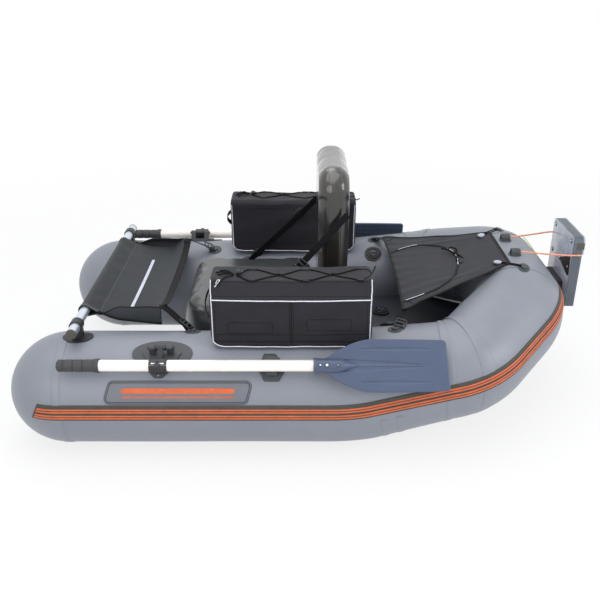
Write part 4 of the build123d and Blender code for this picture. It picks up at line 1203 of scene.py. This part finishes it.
coverPad = hullSpot(cover["pad"])
coverFoot = onHull(*coverPad, fittings["foot"])
coverCorner = coverGrid[0, 0]
coverStrap = [coverCorner + (0.03, 0.03, 0.002), coverCorner + (0.010, 0.012, -0.002),
    coverCorner + (-0.004, -0.006, -0.006), coverCorner * 0.5 + coverFoot * 0.5 + (0, 0, -0.001),
    coverFoot + (0.014, 0.004, 0.003)]
coverWay = unit(coverFoot - coverCorner)
addPiece("cover_webbing", bothSides(strap(coverStrap, cover["strap"], upward, 34, clear=0.003)), "webbing",
    replaces=["cover_straps"], sharp=50)
buckle = ladderBuckle(coverFoot + (0.016, 0.012, 0.0065), coverWay, (0.1, -0.1, 1), 0.044, 0.033)
addPiece("cover_buckles", bothSides(buckle), "nylonDark")
addPiece("cover_strap_pads", bothSides(hullPad(*coverPad, regularOutline(40, 0.024), fittings["pad"]),
    hullPad(*coverPad, regularOutline(40, fittings["button"]), 0.006, fittings["buttonBase"])), "padPvc",
    closed=False)


# Toggles: a cord from an oval button on the cover to a pad on the bow tube, on each side
toggle = {"button": (0.6558, -0.130, 0.4985), "pad": (0.7325, -0.1785, 0.502), "cord": 0.0019}
togglePad = hullSpot(toggle["pad"])
buttonAt, padAt = np.array(toggle["button"]), onHull(*togglePad, 0.002)
buttonAt[2] = onCover([buttonAt[:2]], 0.0012)[0, 2]
buttonWay = unit(padAt - buttonAt)
button = turned([(0, 0), (0, 0.0125), (0.002, 0.0132), (0.0045, 0.0125), (0.0062, 0.0095), (0.0055, 0.007),
    (0.0052, 0)], 28)
button = (button[0] * (1.12, 0.92, 1), button[1])
buttonSeat = turned([(0, 0), (0, 0.0165), (0.0012, 0.0162), (0.0018, 0.015), (0.0018, 0)], 28)
toggleAxes = (buttonWay, unit(np.cross((0, 0.05, 1), buttonWay)),
    unit(np.cross(buttonWay, np.cross((0, 0.05, 1), buttonWay))))
addPiece("cover_toggles", bothSides(placed(button, buttonAt + (0, 0, 0.0015), *toggleAxes)),
    "laminateWithPaintedReflection")
addPiece("cover_toggle_seats", bothSides(placed(buttonSeat, buttonAt, *toggleAxes)), "nylonDark")
toggleSide = toggleAxes[1]
# each point of a cord: its base, then how far along, aside and up from there
cordPoints = ((buttonAt, 0, 0, 0.004), (buttonAt, 0.02, 0.004, 0.0045), ((buttonAt + padAt) / 2, 0, 0.0055,
    0.004), (padAt, -0.014, 0.005, 0.0035), (padAt, 0, 0.003, 0.0035))
cordRuns = []
for hand in (-1, 1):
    run = [base + buttonWay * along + toggleSide * aside * hand + (0, 0, rise) for base, along,
        aside, rise in cordPoints]
    cordRuns.append(roundRod(clearOfHull(smoothPath(run, 40), 0.0025), toggle["cord"], 40, smooth=False))
addPiece("cover_toggle_cords", bothSides(*cordRuns), "bungeeCord")
addPiece("cover_toggle_pads",
    bothSides(hullPad(*togglePad, regularOutline(36, 0.021, 0.019), fittings["pad"]),
    hullPad(*togglePad, regularOutline(28, 0.013, 0.009), 0.0055, fittings["buttonBase"])), "padPvc",
    closed=False)
print("cover built")


def finishNode(name, material):
    # a CAD node that keeps its own shape and takes a real finish
    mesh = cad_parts[name].data
    mesh.materials.clear()
    mesh.materials.append(materials[material])


for name, material in (("crossbar", "anodisedAluminium"), ("crossbar_caps", "capPlastic"),
        ("crossbar_brackets", "nylonDark"), ("motor_bracket", "blockRubber"), ("rowlock_bases", "padPvc"),
        ("oar_clips", "padPvc")):
    finishNode(name, material)
for side in ("starboard", "port"):
    for name, material in (("oar_shaft", "whiteEnamel"), ("oar_collar", "nylonDark"),
            ("rowlock_fork", "nylonDark"), ("oar_grip", "gripRubber")):
        finishNode(side + "_" + name, material)


# Each oar's own directions: along the shaft, up across it, and outboard along the rowlock's bolt
oar = {"centre": (-0.4445, -0.56, 0.3436), "tilt": 35.0, "socket": 0.464, "tip": 0.874, "bladeWidth": 0.160,
    "bladeThick": 0.008, "collar": 0.0216}
tilt = math.radians(oar["tilt"])
oarX, oarZ = np.array([1.0, 0, 0]), np.array([0, -math.cos(tilt), math.sin(tilt)])
oarY = np.cross(oarZ, oarX)


def onOar(shape):
    return placed(shape, oar["centre"], oarX, oarY, oarZ)


# Blade: y runs over a spoon outline, and z is half the thickness less the hollow, grooves and rim round
blade = {"root": 0.496, "hollow": 0.019, "hollowStart": 0.537, "hollowEnd": 0.843, "hollowDepth": 0.0027,
    "lensStart": 0.589, "lensEnd": 0.836, "lensAt": 0.050, "lensHalf": 0.0062, "lensDepth": 0.0024,
    "spine": 0.0026, "rim": 0.003}


def bladeHalf(x):
    # half width: an S curve from the socket to full width, then a slight narrowing, with a rounded tip
    t = share((x - blade["root"]) / 0.148)
    grow = 0.018 + (oar["bladeWidth"] / 2 - 0.018) * np.sin(t * pi / 2) ** 0.95
    ahead = share((x - 0.66) / 0.21)
    return grow - 0.0035 * ahead ** 2


def bladeSurface(side):
    # x by rows and v = -1 to 1 across; the tip slants from the upper to the lower corner
    t = np.linspace(0, 1, 190)
    v = np.sin(np.linspace(-pi / 2, pi / 2, 121)) * 0.55 + np.linspace(-1, 1, 121) * 0.45
    t, v = np.meshgrid(t, v, indexing="ij")
    slant = oar["tip"] - 0.0055 - 0.0055 * v
    edgeDip = 0.012 * (1 - np.sqrt(share(1 - share((np.abs(v) - 0.84) / 0.16) ** 2)))
    x = blade["root"] - 0.004 + (slant - edgeDip - blade["root"] + 0.004) * t
    half = bladeHalf(x)
    y = v * half
    z = np.full(x.shape, oar["bladeThick"] / 2)
    length = share((x - blade["hollowStart"]) / (blade["hollowEnd"] - blade["hollowStart"]))
    hollowHalf = blade["hollow"] * (1 - length ** 1.6) * (1
        - share((0.012 - (x - blade["hollowStart"])) / 0.012) ** 2) ** 0.5
    inside = share((hollowHalf - np.abs(y)) / 0.0022)
    z = z - blade["hollowDepth"] * eased(inside)
    spine = np.exp(-(y / blade["spine"]) ** 4) * (x > blade["hollowStart"]) * (length < 1)
    z = np.where(spine > 0.02, np.maximum(z, z + (oar["bladeThick"] / 2 - 0.0005 - z) * spine), z)
    part = share((x - blade["lensStart"]) / (blade["lensEnd"] - blade["lensStart"]))
    lensHalf = blade["lensHalf"] * np.sin(pi * part) ** 0.8
    lens = share((lensHalf - np.abs(np.abs(y) - blade["lensAt"])) / 0.0028)
    z = z - blade["lensDepth"] * eased(lens)
    fromEdge = np.minimum(np.minimum(half - np.abs(y), slant - edgeDip - x), x - blade["root"] + 0.004)
    rim = share(fromEdge / blade["rim"])
    z = z * np.sqrt(np.clip(1 - (1 - rim) ** 2, 0.0, 1)) * (0.75 + 0.25 * share((oar["tip"] - x) / 0.2))
    return spread(x, y, side * z)


upperFace, lowerFace = gridShape(bladeSurface(1)), gridShape(bladeSurface(-1))
bladeShape = joined(upperFace, (lowerFace[0], [f[:, ::-1] for f in lowerFace[1]]))
socketOutline = [(oar["socket"], 0.0179), (oar["socket"], 0.0232), (oar["socket"] + 0.0012, 0.0238),
    (oar["socket"] + 0.0085, 0.0238), (oar["socket"] + 0.010, 0.0222), (oar["socket"] + 0.012, 0.0218),
    (0.5405, 0.0218), (0.548, 0.0206), (0.560, 0.0165), (0.575, 0.0105), (0.590, 0.0056), (0.603, 0.0034),
    (0.612, 0.0)]
socket = turned(socketOutline, 36)
socket = (socket[0][:, [2, 0, 1]], socket[1])
# each bolt head sits in a dark ring: painted shade of its recess
boltShapes, boltShadeRings = [], []
for x, radius in ((0.4845, 0.0028), (0.5045, 0.0042), (0.5375, 0.0022)):
    head = turned([(0.0205, 0), (0.0205, radius), (0.0226, radius), (0.0232, radius * 0.7), (0.0232, 0)],
        16)
    boltShapes.append(moved(head, (x, 0, 0)))
    ring = turned([(0.0203, 0), (0.0203, radius + 0.0024), (0.0221, radius + 0.0022), (0.0221, 0)], 20)
    boltShadeRings.append(moved(ring, (x, 0, 0)))
slit = slab(np.array([(-0.0188, -0.0021), (0, -0.0003), (0.0188, -0.0021), (0.0188, 0.0021), (0, 0.0003),
    (-0.0188, 0.0021)]), 0.0006, 0.0001)
slit = moved(slit, (0, 0.0048, math.sqrt(oar["collar"] ** 2 - 0.0048 ** 2) - 0.0002))
screwHead = turned([(0, 0), (0, 0.0034), (0.0012, 0.0032), (0.0019, 0.0022), (0.0021, 0)], 16)
collarScrews = [moved(screwHead, (0, y, math.sqrt(oar["collar"] ** 2 - y ** 2) - 0.0006))
    for y in (0.0092, -0.0088)]
for side, flip in (("starboard", lambda shape: shape), ("port", mirrored)):
    for name, shape, material, slot, sharp, replaces in (("blade", bladeShape, "bladePlastic",
            "blade_plastic", 50, [side + "_oar_blade"]), ("blade_socket", socket, "bladePlastic",
            "blade_plastic", 35, ()), ("blade_bolts", joined(*boltShapes), "steel", "fitting_plastic", 40,
            ()), ("blade_bolt_recess_shade", joined(*boltShadeRings), "blackPrintAndRecessShade", "blade_plastic", 40, ()),
            ("collar_slit", slit, "whiteEnamel", "shaft_enamel", 30, ()),
            ("collar_screws", joined(*collarScrews), "blackPrintAndRecessShade", "fitting_plastic", 40, ())):
        addPiece(side + "_" + name, flip(onOar(shape)), material, side + "_oar", replaces,
            sharp=sharp)


# Motor plate: three laminations with fine grooves between them, a thickened cap, screws on flat black
# discs, and a flat black wedge, discs and wedge being painted shade for holes and a clamp recess
plate = {"inner": 0.9145, "thick": 0.033, "capThick": 0.005, "half": 0.112, "low": 0.322, "high": 0.580,
    "corner": 0.022, "capHeight": 0.062, "layers": 3, "foot": 0.004, "sheet": 0.0008, "margin": 0.004,
    "screws": ((0.086, 0.560), (-0.086, 0.560), (0.0, 0.464), (-0.086, 0.464), (0.086, 0.464),
    (0.060, 0.372), (-0.060, 0.372))}


def plateOutline(low, half=plate["half"], corner=plate["corner"]):
    a = quarter(10)
    right = np.stack([half - corner + corner * np.cos(a), plate["high"] - corner + corner * np.sin(a)], -1)
    left = right[::-1] * (-1, 1)
    b, foot = quarter(4), plate["foot"]
    leftFoot = np.stack([-half + foot - foot * np.cos(b), low + foot - foot * np.sin(b)], -1)
    return np.concatenate([right, left, leftFoot, leftFoot[::-1] * (-1, 1)])


def plateLayer(shape, x):
    return placed(shape, (x, 0, 0), (0, 1, 0), (0, 0, 1), (1, 0, 0))


layer = plate["thick"] / plate["layers"]
layers = [plateLayer(slab(plateOutline(plate["low"]), layer - 0.0002, 0.0005), plate["inner"] + i * layer
    + 0.0001) for i in range(plate["layers"])]
addPiece("motor_board", joined(*layers), "plateEdge", sharp=35, replaces=["motor_plate"])
capLow = plate["high"] - plate["capHeight"]
capSlab = plateLayer(slab(plateOutline(capLow), plate["capThick"], 0.001), plate["inner"] + plate["thick"])
addPiece("motor_board_cap", capSlab, "laminateWithPaintedReflection", sharp=35)
# the face sheets take the light laminate: a painted reflection over the dark plate body
faceSheet = plateLayer(slab(plateOutline(plate["low"] + 0.003, plate["half"] - 0.003, plate["corner"]
    - 0.003), plate["sheet"], 0.0003), plate["inner"] - plate["sheet"])
addPiece("motor_board_face", faceSheet, "laminateWithPaintedReflection", sharp=35)
outerHalf = plate["half"] - plate["margin"]
outerSheet = plateLayer(slab(roundedPolygon(rectangle(-outerHalf, plate["low"] + plate["margin"], outerHalf,
    capLow - 0.002), 0.004, 4), 0.0006, 0.0002), plate["inner"] + plate["thick"])
addPiece("motor_board_outer_face", outerSheet, "laminateWithPaintedReflection", sharp=35)
bandEnd = plate["inner"] + plate["thick"] + plate["capThick"] - 0.001
edgeBand = slab(rectangle(plate["inner"] + 0.012, 0.538, bandEnd, 0.561), 0.0012, 0.0004)
edgeBand = placed(edgeBand, (0, -plate["half"] + 0.0002, 0), (1, 0, 0), (0, 0, 1), (0, -1, 0))
addPiece("motor_board_edge_bands", bothSides(edgeBand), "capPlastic", sharp=30)
head = turned([(0, 0), (0, 0.0048), (0.0016, 0.0044), (0.0026, 0.003), (0.0028, 0)], 18)
# a flat black disc round each screw head: painted shade of its hole
screwShadeDisc = turned([(0, 0), (0, 0.0085), (0.0008, 0.0082), (0.0008, 0)], 20)
screwShapes, screwShadeDiscs = [[placed(part, (plate["inner"] - sunk, y, z), (0, 1, 0), (0, 0, -1), (-1, 0, 0))
    for y, z in plate["screws"]] for part, sunk in ((head, 0.0007), (screwShadeDisc, 0.0008))]
addPiece("motor_board_screws", joined(*screwShapes), "steel")
addPiece("motor_board_screw_recess_shade", joined(*screwShadeDiscs), "blackPrintAndRecessShade")
# a flat black wedge on the plate's inner face: painted shade standing for a clamp recess
wedge = slab(np.array([(0.006, 0.463), (-0.100, 0.512), (-0.108, 0.440), (-0.092, 0.436)])[::-1], 0.0012,
    0.0004)
addPiece("motor_board_recess_shade", plateLayer(wedge, plate["inner"] - 0.0019), "blackPrintAndRecessShade", sharp=30)


# Plate ties: elastic cords from the loops to the plate's side edges, run along beside the edge
tie = {"radius": 0.0029, "loopY": 0.072, "z": 0.518, "reach": 0.010, "bridgeX": 0.0665, "bridgeZ": 0.5165,
    "bridge": 0.0017}
reachUp = hull["bowRadius"] + tie["reach"]
tieStart = np.array([hull["nose"][0] + 0.0065, -tie["loopY"], hull["nose"][2] + reachUp])
edgeX, edgeY = plate["inner"] - 0.003, -plate["half"] - 0.0033
tieRun = [tieStart + (-0.006, 0, 0), tieStart + (0.020, -0.002, -0.0004), tieStart * 0.5
    + np.array([edgeX, edgeY, tie["z"]]) * 0.5 + (0, 0, -0.0012), (edgeX - 0.012, edgeY - 0.0002, tie["z"]),
    (edgeX + 0.006, edgeY, tie["z"]), (plate["inner"] + plate["thick"] * 0.94, edgeY, tie["z"])]
tieShape = roundRod(tieRun, tie["radius"], 90, sides=10)
addPiece("plate_elastic_ties", bothSides(tieShape), "tieElastic", replaces=["plate_ties"])
bridgeY = np.linspace(-tie["loopY"] - 0.022, tie["loopY"] + 0.022, 30)
bridge = clearOfHull(spread(hull["nose"][0] + tie["bridgeX"] + 0.001 * np.cos(bridgeY * 40), bridgeY,
    tie["bridgeZ"]), 0.0018)
addPiece("tie_bridge", roundRod(bridge, tie["bridge"], 50), "bridgeCord")
lowTie = roundRod([(0.8885, -0.070, 0.348), (0.902, -0.072, 0.350), (0.9125, -0.074, 0.350)], 0.0022, 14)
addPiece("lower_ties", bothSides(lowTie), "tieElastic")


# Bow loops: ribbed rubber hoops on round pads
loop = {"length": 0.032, "half": 0.0135, "height": 0.021, "wall": 0.0042, "pad": 0.0245}
t = np.linspace(0, pi, 18)
outerArc = np.stack([loop["half"] * np.sign(np.cos(t)) * np.abs(np.cos(t)) ** 0.7,
    loop["height"] * np.sin(t) ** 0.7], -1)
inner = np.array([loop["half"], loop["height"]]) - loop["wall"]
innerArc = (np.stack([np.cos(t), np.sin(t)], -1) * inner)[::-1]
x = np.linspace(-loop["length"] / 2, loop["length"] / 2, 33)[:, None]
wave = np.sin(x / loop["length"] * 2 * pi * 4)
ribs = 1 + 0.035 * np.sign(wave) * share(np.abs(wave) * 3)
ends = 1 - 0.12 * (np.abs(x) / loop["length"] * 2) ** 8
outerPart = spread(x, outerArc[:, 0] * ribs * ends, outerArc[:, 1] * ribs * ends)
innerPart = spread(x, *innerArc.T)
hoop = gridShape(np.concatenate([outerPart, innerPart], 1), closedColumns=True)
i = np.arange(17)
endQuads = np.stack([i, i + 1, 34 - i, 35 - i], -1)
hoop = (hoop[0], hoop[1] + [endQuads, endQuads[:, ::-1] + 36 * 32])
loopBase = np.array([hull["nose"][0], -tie["loopY"], hull["nose"][2] + hull["bowRadius"]])
addPiece("bow_hoops", bothSides(moved(hoop, (loopBase + (0, 0, 0.0010)))), "hoopRubber", sharp=30,
    replaces=["bow_loops"])
loopPad = hullPad(*hullSpot(loopBase), regularOutline(40, loop["pad"], loop["pad"] * 0.9), fittings["pad"])
addPiece("bow_hoop_pads", bothSides(loopPad), "padPvc", closed=False)


# Inflation valves: flange, sunk ring and a winged cap


def valveShapes(place, out, along):
    across = np.cross(out, along)
    flange = turned([(0, 0), (0, 0.033), (0.0016, 0.034), (0.003, 0.0335), (0.0034, 0.031),
        (0.0030, 0.0265), (0.0048, 0.0255), (0.0075, 0.0250), (0.0082, 0.0235), (0.0078, 0.0215),
        (0.0045, 0.0205), (0.0045, 0.0)], 40)
    cap = turned([(0.0044, 0), (0.0044, 0.0165), (0.0080, 0.0160), (0.0095, 0.0145), (0.0097, 0.0)], 28)
    wing = slab(roundedPolygon(rectangle(-0.0145, -0.0028, 0.0145, 0.0028), 0.0018, 3), 0.0042, 0.0008,
        0.0090)
    return placed(flange, place, along, across, out), placed(joined(cap, wing), place, along, across, out)


flange, cap = valveShapes((0.2915, 0.1, 0.2), upward, (0.8, 0.6, 0))
addPiece("deck_valve_flange", flange, "nylonDark", replaces=["deck_valve"])
addPiece("deck_valve_cap", cap, "padPvc")
s, a = hullSpot((0.2703, -0.3132, 0.3499))
place = onHull(s, a, 0.0002)
flange, cap = valveShapes(place, unit(place - hullFrame(np.array(s))[0]), (1, 0, 0))
addPiece("tube_valve_flanges", bothSides(flange), "nylonDark")
addPiece("tube_valve_caps", bothSides(cap), "padPvc")


# Moulded pads under the oar clips and below the rowlocks, and a rivet on each rowlock pad


def lowerPad(corners, round, thickness, rivet):
    # corners are places on the tube's skin, turned into distances along and round it from their middle
    spots = np.array([hullSpot(corner) for corner in corners])
    middle = spots.mean(0)
    radius = float(hullRadius(np.array(middle[0])))
    outline = (spots - middle) * (1, radius)
    outline = resampled(roundedPolygon(outline, round, 5), 0.004)
    head = hullPad(*(middle + (0, rivet / radius)), regularOutline(16, 0.003), 0.0012, thickness - 0.0002)
    return hullPad(*middle, outline, thickness), head


rowlockPad, rowlockRivet = lowerPad([(-0.4340, -0.5503, 0.2927), (-0.4090, -0.5330, 0.3115),
    (-0.4930, -0.5330, 0.3115), (-0.4670, -0.5503, 0.2927)][::-1], 0.003, 0.0042, -0.003)
clipPad, _ = lowerPad([(-0.0872, -0.5549, 0.2867), (-0.0663, -0.5227, 0.3203), (-0.0900, -0.4870, 0.3430),
    (-0.1290, -0.4870, 0.3430), (-0.1502, -0.5227, 0.3203), (-0.1297, -0.5549, 0.2867)][::-1], 0.006,
    0.0016, -0.020)
addPiece("rowlock_lower_pads", bothSides(rowlockPad), "padPvc", closed=False)
addPiece("rowlock_rivets", bothSides(rowlockRivet), "steel", closed=False)
addPiece("clip_pads", bothSides(clipPad), "padPvc", closed=False)


# Side patches: a welded panel with a double border line and two plain stripes
patch = {"length": 0.442, "height": 0.074, "slant": 0.0100, "corner": 0.018, "x": -0.391, "angle": 25.0,
    "thickness": 0.0016, "face": 0.0019}


def slantedOutline(run, half, slant, radius, steps, spacing):
    # a parallelogram that leans forward by slant, with round corners
    line = roundedPolygon([(-run - slant, -half), (run - slant, -half), (run + slant, half),
        (-run + slant, half)], radius, steps)
    return resampled(line, spacing)


patchOutline = slantedOutline(patch["length"] / 2, patch["height"] / 2, patch["slant"], patch["corner"], 8,
    0.006)
s, a = patch["x"] - hull["tip"][0], math.radians(patch["angle"])
addPiece("side_panels", bothSides(hullPad(s, a, patchOutline, patch["thickness"])), "panelPvc",
    closed=False, replaces=["side_patches"])


borders = [hullRing(s, a, patchOutline - outlineNormals(patchOutline) * inset, size, patch["face"], k=1.0)
    for inset, size in ((0.0022, 0.0006), (0.0072, 0.0011))]
addPiece("side_panel_borders", bothSides(*borders), "blackPrintAndRecessShade")
stripeShapes = [hullPad(s, a + rise / hull["pontoonRadius"], slantedOutline(0.172, half, half * 0.4,
    half * 0.6, 4, 0.005), 0.0004, base=patch["face"]) for rise, half in ((0.0055, 0.0080),
    (-0.0140, 0.0022))]
addPiece("side_panel_stripes", bothSides(*stripeShapes), "fenderOrange", closed=False)
print("oars, plate and fittings built")


# Stage: a pale floor, and soft studio lamps; to the camera both floor and world are near white
stage = {"size": 60.0, "shadowShare": 0.22, "clearFrom": 1.3, "clearAt": 3.6, "world": 0.72,
    "lamps": (("top lamp", (-0.4, -0.6, 3.4), (0.0, 0.0, 0.2), 3.0, 50),
    ("front lamp", (-1.6, -3.6, 1.8), (0.0, -0.2, 0.3), 2.0, 34),
    ("bow lamp", (3.2, -2.0, 1.9), (0.5, -0.2, 0.3), 1.6, 46),
    ("back lamp", (-0.6, 2.2, 4.2), (0.0, 0.2, 0.3), 2.0, 26))}


def whiteToCamera(tree, plain, white, strength):
    # what the camera, metal and glass see is white; everything else sees the plain surface
    path = addNode(tree, "LightPath")
    seen = maths(tree, "MAXIMUM", path.outputs["Is Camera Ray"], path.outputs["Is Glossy Ray"])
    seen = maths(tree, "MAXIMUM", seen, path.outputs["Is Transmission Ray"])
    mix = addNode(tree, "MixShader", inputs={0: maths(tree, "MULTIPLY", seen, strength)})
    tree.links.new(plain, mix.inputs[1])
    tree.links.new(white, mix.inputs[2])
    return mix.outputs[0]


floorMaterial = bpy.data.materials.new("matt_studio_floor")
floorMaterial.use_nodes = True
floorTree = floorMaterial.node_tree
floorShader = floorTree.nodes["Principled BSDF"]
floorShader.inputs["Base Color"].default_value = (0.86, 0.86, 0.86, 1)
floorShader.inputs["Roughness"].default_value = 0.9
floorShader.inputs["Specular IOR Level"].default_value = 0.1
glow = addNode(floorTree, "Emission", inputs={"Color": (1, 1, 1, 1), "Strength": 1.0})
away = addNode(floorTree, "VectorMath", {"operation": "LENGTH"},
    {0: addNode(floorTree, "TexCoord").outputs["Object"]})
clear = addNode(floorTree, "MapRange", {"interpolation_type": "SMOOTHSTEP"},
    {"Value": away.outputs["Value"], "From Min": stage["clearFrom"], "From Max": stage["clearAt"],
    "To Min": 1 - stage["shadowShare"], "To Max": 1.0})
floorTree.links.new(whiteToCamera(floorTree, floorShader.outputs[0], glow.outputs[0],
    clear.outputs["Result"]), floorTree.nodes["Material Output"].inputs["Surface"])
reach = stage["size"] / 2
floorMesh = bpy.data.meshes.new("floor")
floorMesh.from_pydata([(-reach, -reach, 0), (reach, -reach, 0), (reach, reach, 0), (-reach, reach, 0)], [],
    [(0, 1, 2, 3)])
floorMesh.materials.append(floorMaterial)
floorPiece = bpy.data.objects.new("floor", floorMesh)
scene.collection.objects.link(floorPiece)
floorPiece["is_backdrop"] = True

world = scene.world or bpy.data.worlds.new("studio")
scene.world = world
world.use_nodes = True
worldTree = world.node_tree
worldTree.nodes.clear()
soft = addNode(worldTree, "Background", inputs={"Color": (0.92, 0.95, 1, 1), "Strength": stage["world"]})
white = addNode(worldTree, "Background", inputs={"Color": (1, 1, 1, 1), "Strength": 1.0})
worldOut = addNode(worldTree, "OutputWorld")
worldTree.links.new(whiteToCamera(worldTree, soft.outputs[0], white.outputs[0], 1.0),
    worldOut.inputs["Surface"])

for name, place, aim, size, power in stage["lamps"]:
    lampData = bpy.data.lights.new(name, "AREA")
    lampData.energy, lampData.size = power, size
    lamp = bpy.data.objects.new(name, lampData)
    lamp.location = place
    lamp.rotation_euler = (Vector(aim) - Vector(place)).to_track_quat("-Z", "Y").to_euler()
    scene.collection.objects.link(lamp)
scene.view_settings.view_transform = "Standard"
print("stage lit")

low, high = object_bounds()
